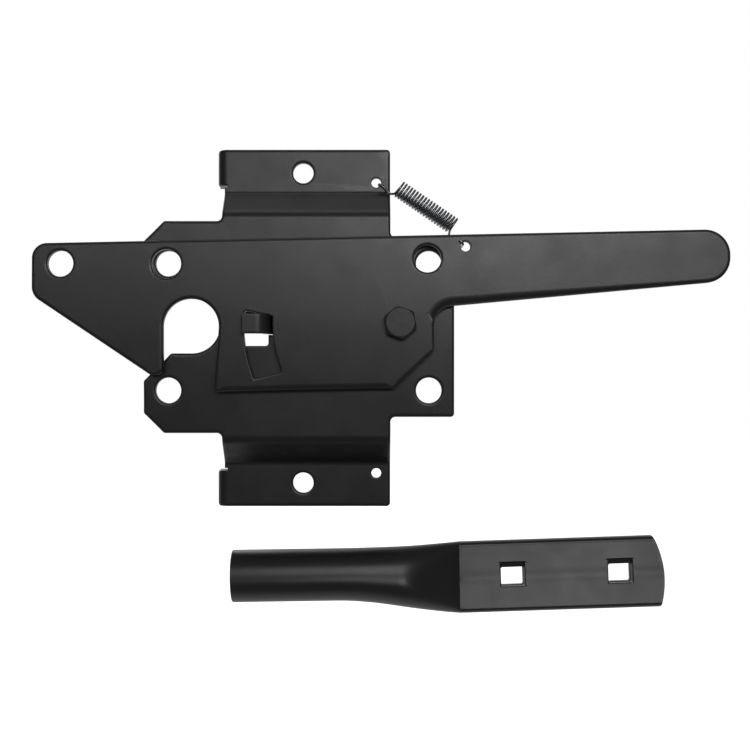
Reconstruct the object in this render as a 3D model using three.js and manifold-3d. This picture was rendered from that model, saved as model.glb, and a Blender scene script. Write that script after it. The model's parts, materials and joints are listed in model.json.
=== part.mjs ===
// Gravity gate latch with its striker bar, in millimetres.
// X runs along the latch, towards the handle. Y runs into the post. Z is up.
// The origin lies on the post's face, midway between the two ear holes.
import * as THREE from 'three';
import { mergeVertices } from 'three/addons/utils/BufferGeometryUtils.js';
import Module from 'manifold-3d';

const wasm = await Module();
wasm.setup();

// ---------------------------------------------------------------- driving dimensions
const SHEET = 3;                    // thickness of the plate and of the lever
const STANDOFF = 8;                 // plate's back to the post's face
const WASHER_GAP = 1.6;             // room between plate and lever
const SLACK = 0.3;                  // gap between pieces that touch
const BEND_IN = 1.5;                // inner radius of a joggle bend
const BEND_OUT = BEND_IN + SHEET;

const PLATE_FRONT = -(STANDOFF + SHEET);
const LEVER_BACK = PLATE_FRONT - WASHER_GAP;
const LEVER_FRONT = LEVER_BACK - SHEET;

const PIVOT = { x: 33.1, z: 1.15 };

const PLATE = {
  left: -53.3, right: 51.4,         // the two lobes
  leftTop: 35.8, rightTop: 30.35,   // half heights of the lobes
  chamfer: 6.8, corner: 1.3, inner: 1.7,
  throatX: -44,                     // where the funnel meets the notch
  notchX: -37, notchZ: 0.5, notchRadius: 9.4,
  holeLeft: -45, holeRight: 42.85, holeZ: 21.4, holeRadius: 4.33,
  pivotRadius: 3.25,
};
const EAR = {
  left: -27, right: 29.9, top: 61.35, joggle: 46.4,
  holeZ: 53.3, holeRadius: 3.53,
  springHoleX: 25.15, springHoleZ: 49.95, springHoleRadius: 1.7,
};
const FLANGE = { bottom: 49, outer: -29.5, root: -26, reach: 6, inner: 0.5 };
const TAB = {
  right: -10, tip: -19.6, top: 3.1, bottom: -3.6, gap: 0.4,
  footRadius: 1, hookRadius: 2, cutRight: -8.8,
};
const WINDOW = { left: -23, right: -11.2, bottom: -6.4, gap: 0.25, corner: 1 };

const LEVER = {
  beak: -89.8, tip: -50.2, tipBottom: -16.2, hookInside: -46,
  topAtBeak: 27.79, topSlope: 0.02034,
  slopeTop: 10.4,
  mouthTop: 9.25, mouthRight: -26.7, mouthRadius: 9.4,
  heelLeft: -29, heelBottom: -21.9,
  toeX: 30.9, toeZ: -20.7, shoulder: 44.4, shoulderZ: -8,
  handleEnd: 143.3, handleSlope: 0.0909, handleRoot: 6.29, rootRadius: 6.7, endRadius: 8.4,
  beakTopRadius: 5, beakRadius: 5.3, hookRadius: 2.6, tipRadius: 1,
  beakHole: { x: -80.3, z: 21, radius: 4.36 },
  leftAccess: { x: -44.9, z: 20.9, radius: 4.9 },
  rightAccess: { x: 42.2, z: 22.6, radius: 4.6 },
  springHole: { x: 54.9, z: 26.65, radius: 1.65 },
  bushHole: 4.15,
};
const SLOT = {
  inner: 42.67, outer: 52.2, top: 175.45, bottom: 202.5, topCorner: 1, bottomCorner: 1.5,
};

const BOLT = { radius: 3, acrossFlats: 10, head: 4, hexTurn: 50, end: -0.6 };
const BUSH = { outer: 4, inner: 3.15 };
const SPACER = { outer: 7, inner: 4.2, thickness: 1 };
const WASHER = { outer: 6, inner: 3.2, thickness: 1.2 };
const NUT = { height: 5, hex: 3.4, bore: 3.12, collar: 4.5, recess: 4, lip: 3.5, seat: 1.5 };
const INSERT = { inner: 3.08, outer: 3.9, height: 1.2 };

const SPRING = {
  wire: 0.4, coil: 2.7, turns: 20, start: 7.1, end: 30.2,
  startRise: 2.85, endRise: 4.35, depthStart: -4.5, depthEnd: -4.6,
  lead: 0.12,                       // share of a turn left out where the coil meets a hook
  gap: 0.1,                         // half gap between the two halves, in turns
  pointsPerTurn: 8, stepsPerPoint: 1.4,
};
// Way points of the two hooks, as [along from where the wire passes its hole, rise, y].
const EAR_HOOK = [
  [1.6, 0, 0.8], [0.6, 0, 0.75], [0, 0, 0.2], [0, 0, -3], [0.5, 0.2, -3.75], [2.45, 0.2, -3.9],
  [4.85, -0.3, -4.2],
];
const LEVER_HOOK = [
  [-5.8, 0.9, -4.6], [-4.8, -0.5, -4.6], [-3.3, -0.9, -4.6], [-1.2, -0.4, -4.7], [0, 0, -6],
  [0, 0, -12.6], [0, 0, -15.6], [-0.5, 0.15, -16.25], [-1.7, 0.35, -16.35],
];

const BAR = {
  left: -23.55, axisZ: -84.3, tilt: 0.85,
  tube: 8.8, wall: 2.2, length: 147.15,
  widenFrom: 35, pressFrom: 56.5, crease: 77.15,
  halfWidth: 12.25, halfThick: 3, drop: -2.5, flatSlope: 0.0173,
  seam: 0.5, endRadius: 32, endDrop: 3,
  holeX: [95.25, 132.05], holeRise: 0.9, holeSide: 8.3, holeCorner: 0.8, holeTurn: 1.2,
  widenCurve: 0.8,                  // how much the widening slows down before the crease
  pressPower: 1.6,                  // how late the pressing reaches its full depth
  foldSides: 1.6, foldFaces: 1.17,  // how square the folded section is
  pressSteps: 12,
};

const CURVE_STEPS = 8;
const ROUND_STEPS = 28;
const SPARE = 2;                    // how far a cutter runs past what it cuts

// ---------------------------------------------------------------- solids and outlines
function toSolid(geometry) {
  const bare = geometry.index ? geometry.toNonIndexed() : geometry.clone();
  bare.deleteAttribute('normal');
  bare.deleteAttribute('uv');
  const merged = mergeVertices(bare, 1e-4);
  const corners = merged.index.array;
  const kept = [];
  for (let i = 0; i < corners.length; i += 3) {
    const [a, b, c] = corners.slice(i, i + 3);
    if (a !== b && b !== c && c !== a) kept.push(a, b, c);
  }
  return new wasm.Manifold(new wasm.Mesh({
    numProp: 3,
    vertProperties: new Float32Array(merged.attributes.position.array),
    triVerts: new Uint32Array(kept),
  }));
}

function toGeometry(solid) {
  const mesh = solid.getMesh();
  const geometry = new THREE.BufferGeometry();
  const stride = mesh.numProp;
  const positions = new Float32Array(mesh.vertProperties.length / stride * 3);
  for (let i = 0; i * stride < mesh.vertProperties.length; i += 1) {
    positions.set(mesh.vertProperties.subarray(i * stride, i * stride + 3), i * 3);
  }
  geometry.setAttribute('position', new THREE.BufferAttribute(positions, 3));
  geometry.setIndex(new THREE.BufferAttribute(new Uint32Array(mesh.triVerts), 1));
  geometry.computeVertexNormals();
  return geometry;
}

// A closed outline from corners [x, y, radius], each corner rounded by a true arc.
function traceCorners(path, corners) {
  corners.forEach(([x, y, radius = 0], i) => {
    const corner = new THREE.Vector2(x, y);
    if (!radius) {
      if (i === 0) path.moveTo(x, y);
      else path.lineTo(x, y);
      return;
    }
    const before = corners.at(i - 1);
    const after = corners[(i + 1) % corners.length];
    const back = new THREE.Vector2(before[0], before[1]).sub(corner).normalize();
    const ahead = new THREE.Vector2(after[0], after[1]).sub(corner).normalize();
    const half = Math.acos(THREE.MathUtils.clamp(back.dot(ahead), -1, 1)) / 2;
    const enter = back.clone().multiplyScalar(radius / Math.tan(half)).add(corner);
    const leave = ahead.clone().multiplyScalar(radius / Math.tan(half)).add(corner);
    const centre = back.clone().add(ahead).normalize()
      .multiplyScalar(radius / Math.sin(half)).add(corner);
    const from = Math.atan2(enter.y - centre.y, enter.x - centre.x);
    const to = Math.atan2(leave.y - centre.y, leave.x - centre.x);
    if (i === 0) path.moveTo(enter.x, enter.y);
    else path.lineTo(enter.x, enter.y);
    path.absarc(centre.x, centre.y, radius, from, to, back.cross(ahead) > 0);
  });
  path.closePath();
  return path;
}

// A solid outline runs counter-clockwise, whichever way its corners are listed.
function outline(corners) {
  const area = THREE.ShapeUtils.area(corners.map(([x, y]) => ({ x, y })));
  return traceCorners(new THREE.Shape(), area < 0 ? [...corners].reverse() : corners);
}

function opening(corners) {
  return traceCorners(new THREE.Path(), corners);
}

function roundHole(x, z, radius) {
  return new THREE.Path().absarc(x, z, radius, 0, 2 * Math.PI, true);
}

function extrude(shape, depth) {
  return new THREE.ExtrudeGeometry(shape, {
    depth, bevelEnabled: false, curveSegments: CURVE_STEPS,
  });
}

// An X-Z outline as a plate whose faces lie at y = front and y = back.
function facePlate(shape, front, back) {
  return extrude(shape, back - front).rotateX(Math.PI / 2).translate(0, back, 0);
}

// A Y-Z profile drawn out along X from left to right.
function alongX(shape, left, right) {
  const turn = new THREE.Matrix4().makeBasis(
    new THREE.Vector3(0, 1, 0), new THREE.Vector3(0, 0, 1), new THREE.Vector3(1, 0, 0));
  return extrude(shape, right - left).applyMatrix4(turn).translate(left, 0, 0);
}

// An X-Y profile drawn out along Z from bottom to top.
function alongZ(shape, bottom, top) {
  return extrude(shape, top - bottom).translate(0, 0, bottom);
}

// A turned piece about the Y axis, from a closed list of [radius, y].
function turned(profile) {
  const points = [...profile, profile[0]].map(([r, y]) => new THREE.Vector2(r, y));
  return new THREE.LatheGeometry(points, ROUND_STEPS);
}

function ring(inner, outer, front, back) {
  return turned([[inner, front], [outer, front], [outer, back], [inner, back]]);
}

function hexagon(acrossFlats, front, back) {
  const corner = acrossFlats / Math.sqrt(3);
  const start = THREE.MathUtils.degToRad(BOLT.hexTurn);
  return new THREE.CylinderGeometry(corner, corner, back - front, 6, 1, false, start)
    .translate(0, (front + back) / 2, 0);
}

// Keeps the hexagon's corners inside a 30 degree cone at its outer end.
function cornerCone(acrossFlats, outerEnd, innerEnd) {
  const corner = acrossFlats / Math.sqrt(3) + SLACK;
  const land = acrossFlats / 2 - SLACK;
  const slope = (corner - land) * Math.tan(Math.PI / 6) * Math.sign(innerEnd - outerEnd);
  return new THREE.LatheGeometry([
    new THREE.Vector2(0, outerEnd), new THREE.Vector2(land, outerEnd),
    new THREE.Vector2(corner, outerEnd + slope), new THREE.Vector2(corner, innerEnd),
    new THREE.Vector2(0, innerEnd),
  ], ROUND_STEPS);
}

// Turns a surface the right way out when its profile was drawn from front to back.
function solidOf(geometry) {
  const solid = toSolid(geometry);
  if (solid.volume() > 0) return solid;
  const flipped = geometry.index ? geometry.toNonIndexed() : geometry.clone();
  const position = flipped.attributes.position;
  for (let i = 0; i < position.count; i += 3) {
    const spare = new THREE.Vector3().fromBufferAttribute(position, i);
    const other = new THREE.Vector3().fromBufferAttribute(position, i + 2);
    position.setXYZ(i, other.x, other.y, other.z);
    position.setXYZ(i + 2, spare.x, spare.y, spare.z);
  }
  return toSolid(flipped);
}

// ---------------------------------------------------------------- back plate
function plateOutline() {
  const half = (side) => {
    const throat = PLATE.notchZ + side * PLATE.notchRadius;
    return [
      [PLATE.notchX, throat],
      [PLATE.throatX, throat, PLATE.corner],
      [PLATE.left, throat + side * (PLATE.throatX - PLATE.left), PLATE.corner],
      [PLATE.left, side * (PLATE.leftTop - PLATE.chamfer), PLATE.corner],
      [PLATE.left + PLATE.chamfer, side * PLATE.leftTop, PLATE.corner],
      [EAR.left, side * PLATE.leftTop, PLATE.inner],
      [EAR.left, side * FLANGE.bottom],
      [FLANGE.root, side * FLANGE.bottom],
      [FLANGE.root, side * EAR.top],
      [EAR.right, side * EAR.top, PLATE.corner],
      [EAR.right, side * PLATE.rightTop, PLATE.inner],
      [PLATE.right, side * PLATE.rightTop, PLATE.corner],
    ];
  };
  return outline([...half(1), ...half(-1).reverse()]);
}

function windowOutline() {
  const top = PIVOT.z + TAB.top + WINDOW.gap;
  const under = PIVOT.z + TAB.bottom;
  return opening([
    [WINDOW.left, WINDOW.bottom, WINDOW.corner],
    [WINDOW.left, top, WINDOW.corner],
    [TAB.cutRight, top],
    [TAB.cutRight, under],
    [WINDOW.right, under],
    [WINDOW.right, WINDOW.bottom, WINDOW.corner],
  ]);
}

// The sheet's side view: ears on the post, joggled forward to the plate's face.
function joggledProfile() {
  const step = STANDOFF;
  const shift = SHEET * Math.tan(Math.PI / 8);
  const front = [
    [-SHEET, EAR.top + SPARE],
    [-SHEET, EAR.joggle, BEND_IN],
    [PLATE_FRONT, EAR.joggle - step, BEND_OUT],
  ];
  const back = [
    [-STANDOFF, EAR.joggle - step - shift, BEND_IN],
    [0, EAR.joggle - shift, BEND_OUT],
    [0, EAR.top + SPARE],
  ];
  const mirror = (points) => points.map(([y, z, radius]) => [y, -z, radius]).reverse();
  return outline([...front, ...mirror(front), ...mirror(back), ...back]);
}

function flangeProfile() {
  const inner = FLANGE.outer + SHEET;
  return outline([
    [FLANGE.root + SPARE, -SHEET],
    [FLANGE.outer, -SHEET, FLANGE.inner + SHEET],
    [FLANGE.outer, FLANGE.reach],
    [inner, FLANGE.reach],
    [inner, 0, FLANGE.inner],
    [FLANGE.root + SPARE, 0],
  ]);
}

// The keeper tab: up from the plate, through the lever's slot, then left over its front.
function tabProfile() {
  const left = TAB.right - SHEET;
  const under = LEVER_FRONT - TAB.gap;
  return outline([
    [TAB.cutRight + SPARE, PLATE_FRONT],
    [TAB.right, PLATE_FRONT, TAB.footRadius],
    [TAB.right, under - SHEET, TAB.hookRadius + SHEET],
    [TAB.tip, under - SHEET],
    [TAB.tip, under],
    [left, under, TAB.hookRadius],
    [left, -STANDOFF, TAB.footRadius + SHEET],
    [TAB.cutRight + SPARE, -STANDOFF],
  ]);
}

function backPlate() {
  const shape = plateOutline();
  shape.holes.push(windowOutline(), roundHole(PIVOT.x, PIVOT.z, PLATE.pivotRadius));
  for (const side of [1, -1]) {
    shape.holes.push(
      roundHole(PLATE.holeLeft, side * PLATE.holeZ, PLATE.holeRadius),
      roundHole(PLATE.holeRight, side * PLATE.holeZ, PLATE.holeRadius),
      roundHole(0, side * EAR.holeZ, EAR.holeRadius),
      roundHole(EAR.springHoleX, side * EAR.springHoleZ, EAR.springHoleRadius),
    );
  }
  const reach = EAR.joggle - STANDOFF - BEND_OUT * Math.tan(Math.PI / 8);
  const lobes = outline([
    [PLATE.left - SPARE, -reach], [PLATE.right + SPARE, -reach],
    [PLATE.right + SPARE, reach], [PLATE.left - SPARE, reach],
  ]);
  const sheet = solidOf(alongX(joggledProfile(), EAR.left - SPARE, EAR.right + SPARE))
    .add(solidOf(facePlate(lobes, PLATE_FRONT, -STANDOFF)));
  const notch = new THREE.Shape().absarc(
    PLATE.notchX, PLATE.notchZ, PLATE.notchRadius, 0, 2 * Math.PI, false);
  let plate = sheet
    .intersect(solidOf(facePlate(shape, PLATE_FRONT - SPARE, SPARE)))
    .subtract(solidOf(facePlate(notch, PLATE_FRONT - SPARE, SPARE)));
  for (const [bottom, top] of [[FLANGE.bottom, EAR.top], [-EAR.top, -FLANGE.bottom]]) {
    plate = plate.add(solidOf(alongZ(flangeProfile(), bottom, top)));
  }
  return plate.add(solidOf(alongZ(
    tabProfile(), PIVOT.z + TAB.bottom, PIVOT.z + TAB.top)));
}

// ---------------------------------------------------------------- lever
function leverOutline() {
  const topAt = (x) => LEVER.topAtBeak + (x - LEVER.beak) * LEVER.topSlope;
  const handleAt = (x) => LEVER.handleRoot + (x - LEVER.shoulder) * LEVER.handleSlope;
  return outline([
    [LEVER.beak, topAt(LEVER.beak), LEVER.beakTopRadius],
    [LEVER.handleEnd, topAt(LEVER.handleEnd), LEVER.endRadius],
    [LEVER.handleEnd, handleAt(LEVER.handleEnd), LEVER.endRadius],
    [LEVER.shoulder, LEVER.handleRoot, LEVER.rootRadius],
    [LEVER.shoulder, LEVER.shoulderZ, PLATE.corner],
    [LEVER.toeX, LEVER.toeZ, PLATE.corner],
    [LEVER.heelLeft, LEVER.heelBottom, PLATE.corner],
    [LEVER.mouthRight, LEVER.mouthTop, LEVER.mouthRadius],
    [LEVER.hookInside, LEVER.mouthTop, LEVER.mouthRadius],
    [LEVER.hookInside, LEVER.tipBottom, LEVER.hookRadius],
    [LEVER.tip, LEVER.tipBottom, LEVER.tipRadius],
    [LEVER.beak, LEVER.slopeTop, LEVER.beakRadius],
  ]);
}

// The curved slot round the pivot: two arcs joined by radial ends with rounded corners.
function slotOutline() {
  const rad = THREE.MathUtils.degToRad;
  const slot = new THREE.Path();
  const corner = (radius, angle, inward, along, from) => {
    const reach = radius + inward * Math.abs(along);
    const turn = Math.asin(along / reach);
    const x = PIVOT.x + reach * Math.cos(angle + turn);
    const z = PIVOT.z + reach * Math.sin(angle + turn);
    const start = from === 'arc' ? angle + turn + (inward > 0 ? Math.PI : 0)
      : angle - Math.sign(along) * Math.PI / 2;
    const end = from === 'arc' ? angle - Math.sign(along) * Math.PI / 2
      : angle + turn + (inward > 0 ? Math.PI : 0);
    slot.absarc(x, z, Math.abs(along), start, end, false);
    return turn;
  };
  const [top, bottom] = [rad(SLOT.top), rad(SLOT.bottom)];
  const [small, large] = [SLOT.topCorner, SLOT.bottomCorner];
  const outerStart = top + Math.asin(small / (SLOT.outer - small));
  const outerEnd = bottom - Math.asin(large / (SLOT.outer - large));
  const innerStart = bottom - Math.asin(large / (SLOT.inner + large));
  const innerEnd = top + Math.asin(small / (SLOT.inner + small));
  slot.absarc(PIVOT.x, PIVOT.z, SLOT.outer, outerStart, outerEnd, false);
  corner(SLOT.outer, bottom, -1, -large, 'arc');
  corner(SLOT.inner, bottom, 1, -large, 'end');
  slot.absarc(PIVOT.x, PIVOT.z, SLOT.inner, innerStart, innerEnd, true);
  corner(SLOT.inner, top, 1, small, 'arc');
  corner(SLOT.outer, top, -1, small, 'end');
  slot.closePath();
  return slot;
}

function latchLever() {
  const shape = leverOutline();
  shape.holes.push(slotOutline(), roundHole(PIVOT.x, PIVOT.z, LEVER.bushHole));
  for (const hole of [LEVER.beakHole, LEVER.leftAccess, LEVER.rightAccess, LEVER.springHole]) {
    shape.holes.push(roundHole(hole.x, hole.z, hole.radius));
  }
  return solidOf(facePlate(shape, LEVER_FRONT, LEVER_BACK));
}

// ---------------------------------------------------------------- pivot hardware
const HEAD_BACK = LEVER_FRONT - SLACK;
const HEAD_FRONT = HEAD_BACK - BOLT.head;
const NUT_FRONT = -STANDOFF + WASHER.thickness + 2 * SLACK;
const NUT_BACK = NUT_FRONT + NUT.height;

function pivotBolt() {
  const hex = solidOf(hexagon(BOLT.acrossFlats, HEAD_FRONT, HEAD_BACK))
    .intersect(solidOf(cornerCone(BOLT.acrossFlats, HEAD_FRONT, HEAD_BACK)));
  const shank = new THREE.LatheGeometry([
    new THREE.Vector2(0, HEAD_BACK - SPARE), new THREE.Vector2(BOLT.radius, HEAD_BACK - SPARE),
    new THREE.Vector2(BOLT.radius, BOLT.end - SLACK * 2),
    new THREE.Vector2(BOLT.radius - SLACK * 2, BOLT.end), new THREE.Vector2(0, BOLT.end),
  ], ROUND_STEPS);
  return hex.add(solidOf(shank));
}

function pivotBush() {
  return solidOf(ring(BUSH.inner, BUSH.outer, HEAD_BACK + SLACK / 2, PLATE_FRONT - SLACK / 2));
}

function spacerWasher() {
  const front = LEVER_BACK + SLACK;
  return solidOf(ring(SPACER.inner, SPACER.outer, front, front + SPACER.thickness));
}

function rearWasher() {
  const front = -STANDOFF + SLACK;
  return solidOf(ring(WASHER.inner, WASHER.outer, front, front + WASHER.thickness));
}

function lockNut() {
  const seatBack = NUT_BACK - SLACK;
  const hex = solidOf(hexagon(BOLT.acrossFlats, NUT_FRONT, NUT_FRONT + NUT.hex))
    .intersect(solidOf(cornerCone(BOLT.acrossFlats, NUT_FRONT, NUT_FRONT + NUT.hex)));
  const collar = new THREE.CylinderGeometry(NUT.collar, NUT.collar, NUT.height, ROUND_STEPS)
    .translate(0, (NUT_FRONT + NUT_BACK) / 2, 0);
  const bore = new THREE.LatheGeometry([
    new THREE.Vector2(0, NUT_FRONT - SPARE), new THREE.Vector2(NUT.bore, NUT_FRONT - SPARE),
    new THREE.Vector2(NUT.bore, seatBack - NUT.seat),
    new THREE.Vector2(NUT.recess, seatBack - NUT.seat), new THREE.Vector2(NUT.recess, seatBack),
    new THREE.Vector2(NUT.lip, seatBack), new THREE.Vector2(NUT.lip, NUT_BACK + SPARE),
    new THREE.Vector2(0, NUT_BACK + SPARE),
  ], ROUND_STEPS);
  return hex.add(solidOf(collar)).subtract(solidOf(bore));
}

function nutInsert() {
  const back = NUT_BACK - SLACK * 1.5;
  return solidOf(ring(INSERT.inner, INSERT.outer, back - INSERT.height, back));
}

// ---------------------------------------------------------------- return spring
// Its frame: u runs from the ear hole to the lever hole, v square to it and upwards.
function springFrame() {
  const ear = new THREE.Vector3(EAR.springHoleX, 0, EAR.springHoleZ);
  const lever = new THREE.Vector3(LEVER.springHole.x, 0, LEVER.springHole.z);
  const u = lever.clone().sub(ear).normalize();
  const v = new THREE.Vector3(-u.z, 0, u.x);
  const at = (along, rise, y) => ear.clone()
    .addScaledVector(u, along).addScaledVector(v, rise).setY(y);
  return { at, span: lever.distanceTo(ear) };
}

function coilPoints(at, fromTurn, toTurn) {
  const points = [];
  const steps = Math.round((toTurn - fromTurn) * SPRING.pointsPerTurn);
  for (let i = 0; i <= steps; i += 1) {
    const turn = fromTurn + i / SPRING.pointsPerTurn;
    const share = turn / SPRING.turns;
    const angle = turn * 2 * Math.PI;
    const along = THREE.MathUtils.lerp(SPRING.start, SPRING.end, share);
    const rise = THREE.MathUtils.lerp(SPRING.startRise, SPRING.endRise, share);
    const depth = THREE.MathUtils.lerp(SPRING.depthStart, SPRING.depthEnd, share);
    points.push(at(along, rise - SPRING.coil * Math.cos(angle),
      depth - SPRING.coil * Math.sin(angle)));
  }
  return points;
}

function wire(points) {
  const section = new THREE.Shape().absarc(0, 0, SPRING.wire, 0, 2 * Math.PI, false);
  const hexagonal = new THREE.Shape(section.getPoints(3).slice(0, -1));
  const path = new THREE.CatmullRomCurve3(points, false, 'centripetal');
  return new THREE.ExtrudeGeometry(hexagonal, {
    steps: Math.round(points.length * SPRING.stepsPerPoint), extrudePath: path,
    bevelEnabled: false,
  });
}

function springEarHalf() {
  const { at } = springFrame();
  const hole = EAR.springHoleRadius - SPRING.wire - SLACK / 2;
  return solidOf(wire([
    ...EAR_HOOK.map(([along, rise, y]) => at(hole + along, rise, y)),
    ...coilPoints(at, SPRING.lead, SPRING.turns / 2 - SPRING.gap),
  ]));
}

function springLeverHalf() {
  const { at, span } = springFrame();
  const hole = span - (LEVER.springHole.radius - SPRING.wire - SLACK / 2);
  return solidOf(wire([
    ...coilPoints(at, SPRING.turns / 2 + SPRING.gap, SPRING.turns - SPRING.lead),
    ...LEVER_HOOK.map(([along, rise, y]) => at(hole + along, rise, y)),
  ]));
}

// ---------------------------------------------------------------- striker bar
// Stations along the bar, close together where the round tube is pressed flat.
function barStations(from, to) {
  const stations = [from, BAR.widenFrom];
  for (let i = 1; i <= BAR.pressSteps; i += 1) {
    stations.push(THREE.MathUtils.lerp(BAR.widenFrom, BAR.crease, i / BAR.pressSteps));
  }
  stations.push(BAR.crease + (to - BAR.crease) / 2, to);
  return stations;
}

// Share of the way from one place along the bar to the crease.
function shareToCrease(along, from) {
  return THREE.MathUtils.clamp((along - from) / (BAR.crease - from), 0, 1);
}

// A round rod whose section turns into a flat one; inset is how far it lies inside the bar.
function pressedRod(from, to, inset, halfThick) {
  const stations = barStations(from, to);
  const rod = new THREE.CylinderGeometry(1, 1, 1, ROUND_STEPS, stations.length - 1);
  const position = rod.attributes.position;
  const radius = BAR.tube - inset;
  const core = BAR.halfWidth - inset - halfThick;
  for (let i = 0; i < position.count; i += 1) {
    const along = stations[Math.round((position.getY(i) + 0.5) * (stations.length - 1))];
    const reach = Math.hypot(position.getX(i), position.getZ(i));
    const side = reach ? position.getX(i) / reach : 0;
    const face = reach ? position.getZ(i) / reach : 0;
    const run = shareToCrease(along, BAR.widenFrom);
    const widen = run * run * (1 + BAR.widenCurve * (1 - run));
    const press = shareToCrease(along, BAR.pressFrom) ** BAR.pressPower;
    const flatSide = core * THREE.MathUtils.clamp(BAR.foldSides * side, -1, 1) + halfThick * side;
    const flatFace = halfThick * THREE.MathUtils.clamp(BAR.foldFaces * face, -1, 1);
    const centre = BAR.drop * widen + Math.max(0, along - BAR.crease) * BAR.flatSlope;
    position.setXYZ(i, along,
      THREE.MathUtils.lerp(radius * face - BAR.tube, flatFace - BAR.halfThick, press),
      THREE.MathUtils.lerp(radius * side, flatSide, widen) + centre);
  }
  return solidOf(rod);
}

function strikerBar() {
  const endCentre = BAR.drop + (BAR.length - BAR.crease) * BAR.flatSlope - BAR.endDrop;
  const sweep = Math.asin((BAR.halfWidth + BAR.endDrop + SPARE) / BAR.endRadius);
  const end = new THREE.Shape();
  end.moveTo(-SPARE, BAR.endRadius);
  end.lineTo(-SPARE, -BAR.endRadius);
  end.absarc(BAR.length - BAR.endRadius, endCentre, BAR.endRadius, -sweep, sweep, false);
  end.closePath();
  let bar = pressedRod(0, BAR.length + SPARE, 0, BAR.halfThick)
    .subtract(pressedRod(-SPARE, BAR.length + 2 * SPARE, BAR.wall, BAR.seam))
    .intersect(solidOf(facePlate(end, -3 * BAR.tube, SPARE)));
  const half = BAR.holeSide / 2;
  for (const x of BAR.holeX) {
    const z = BAR.drop + (x - BAR.crease) * BAR.flatSlope + BAR.holeRise;
    const square = outline([[-half, -half, BAR.holeCorner], [half, -half, BAR.holeCorner],
      [half, half, BAR.holeCorner], [-half, half, BAR.holeCorner]]);
    const cutter = facePlate(square, -3 * BAR.halfThick, SPARE)
      .rotateY(THREE.MathUtils.degToRad(-BAR.holeTurn)).translate(x, 0, z);
    bar = bar.subtract(solidOf(cutter));
  }
  return bar;
}

// ---------------------------------------------------------------- materials and assembly
const MATERIALS = {
  satinBlack: { color: 0x232427, roughness: 0.5, metalness: 0.1 },
  blackSteel: { color: 0x2a2b2e, roughness: 0.42, metalness: 0.4 },
  springSteel: { color: 0x6e7074, roughness: 0.3, metalness: 0.9 },
  zinc: { color: 0x9a9c9e, roughness: 0.38, metalness: 0.9 },
  nylon: { color: 0xd8d6cc, roughness: 0.55, metalness: 0 },
};

function part(name, solid, finish) {
  const mesh = new THREE.Mesh(toGeometry(solid), new THREE.MeshStandardMaterial(MATERIALS[finish]));
  mesh.name = name;
  return mesh;
}

function pivotGroup() {
  const group = new THREE.Group();
  group.position.set(PIVOT.x, 0, PIVOT.z);
  group.add(
    part('pivot_bolt', pivotBolt(), 'blackSteel'),
    part('pivot_bush', pivotBush(), 'zinc'),
    part('spacer_washer', spacerWasher(), 'zinc'),
    part('rear_washer', rearWasher(), 'blackSteel'),
    part('lock_nut', lockNut(), 'blackSteel'),
    part('nut_insert', nutInsert(), 'nylon'),
  );
  return group;
}

function strikerGroup() {
  const group = new THREE.Group();
  group.position.set(BAR.left, 0, BAR.axisZ);
  group.rotation.y = -THREE.MathUtils.degToRad(BAR.tilt);
  group.add(part('striker_bar', strikerBar(), 'satinBlack'));
  return group;
}

const latch = new THREE.Group();
latch.add(
  part('back_plate', backPlate(), 'satinBlack'),
  part('latch_lever', latchLever(), 'satinBlack'),
  pivotGroup(),
  part('spring_ear_half', springEarHalf(), 'springSteel'),
  part('spring_lever_half', springLeverHalf(), 'springSteel'),
  strikerGroup(),
);

export default latch;
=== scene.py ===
import json
import math

import bmesh
import bpy
from mathutils import Matrix, Vector
from mathutils.geometry import delaunay_2d_cdt

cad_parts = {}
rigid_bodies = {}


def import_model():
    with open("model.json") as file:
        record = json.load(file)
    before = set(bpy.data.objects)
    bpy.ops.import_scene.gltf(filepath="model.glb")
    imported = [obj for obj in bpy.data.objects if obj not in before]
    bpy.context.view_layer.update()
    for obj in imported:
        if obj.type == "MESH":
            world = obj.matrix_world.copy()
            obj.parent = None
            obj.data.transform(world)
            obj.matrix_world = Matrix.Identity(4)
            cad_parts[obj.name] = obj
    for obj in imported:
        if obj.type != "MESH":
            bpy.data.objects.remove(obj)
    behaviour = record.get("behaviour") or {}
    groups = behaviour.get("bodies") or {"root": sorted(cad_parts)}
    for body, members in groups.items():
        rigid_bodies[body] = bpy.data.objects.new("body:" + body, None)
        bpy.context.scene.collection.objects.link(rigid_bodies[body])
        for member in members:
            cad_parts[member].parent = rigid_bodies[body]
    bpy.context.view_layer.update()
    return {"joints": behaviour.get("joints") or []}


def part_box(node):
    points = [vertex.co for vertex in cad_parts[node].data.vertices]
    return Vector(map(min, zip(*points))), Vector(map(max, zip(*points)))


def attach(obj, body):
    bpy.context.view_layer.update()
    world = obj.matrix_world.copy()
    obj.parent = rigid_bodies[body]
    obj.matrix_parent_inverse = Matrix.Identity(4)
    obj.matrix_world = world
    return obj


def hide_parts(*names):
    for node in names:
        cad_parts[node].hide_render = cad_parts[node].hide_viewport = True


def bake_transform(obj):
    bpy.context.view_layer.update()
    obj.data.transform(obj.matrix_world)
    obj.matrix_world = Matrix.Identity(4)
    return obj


bl_info = {
    "name": "Gravity Gate Latch",
    "version": (1, 0, 0),
    "blender": (4, 5, 0),
    "location": "3D View > Sidebar > Gate Latch",
    "description": "Builds the finished surfaces of a gravity gate latch round its packed frame",
    "category": "Object",
}

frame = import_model()

# ------------------------------------------------------------------ sizes, in millimetres
MM = 0.001
JOINTS = {joint["name"]: joint for joint in frame["joints"]}
PIVOT = Vector(JOINTS["lever_pivot"]["pos_m"]) / MM
EAR_SPRING_HOLE = Vector(JOINTS["spring_swing"]["pos_m"]) / MM


def box_mm(node):
    """Lowest and highest corner of a frame node, in millimetres."""
    low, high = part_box(node)
    return low / MM, high / MM


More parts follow.
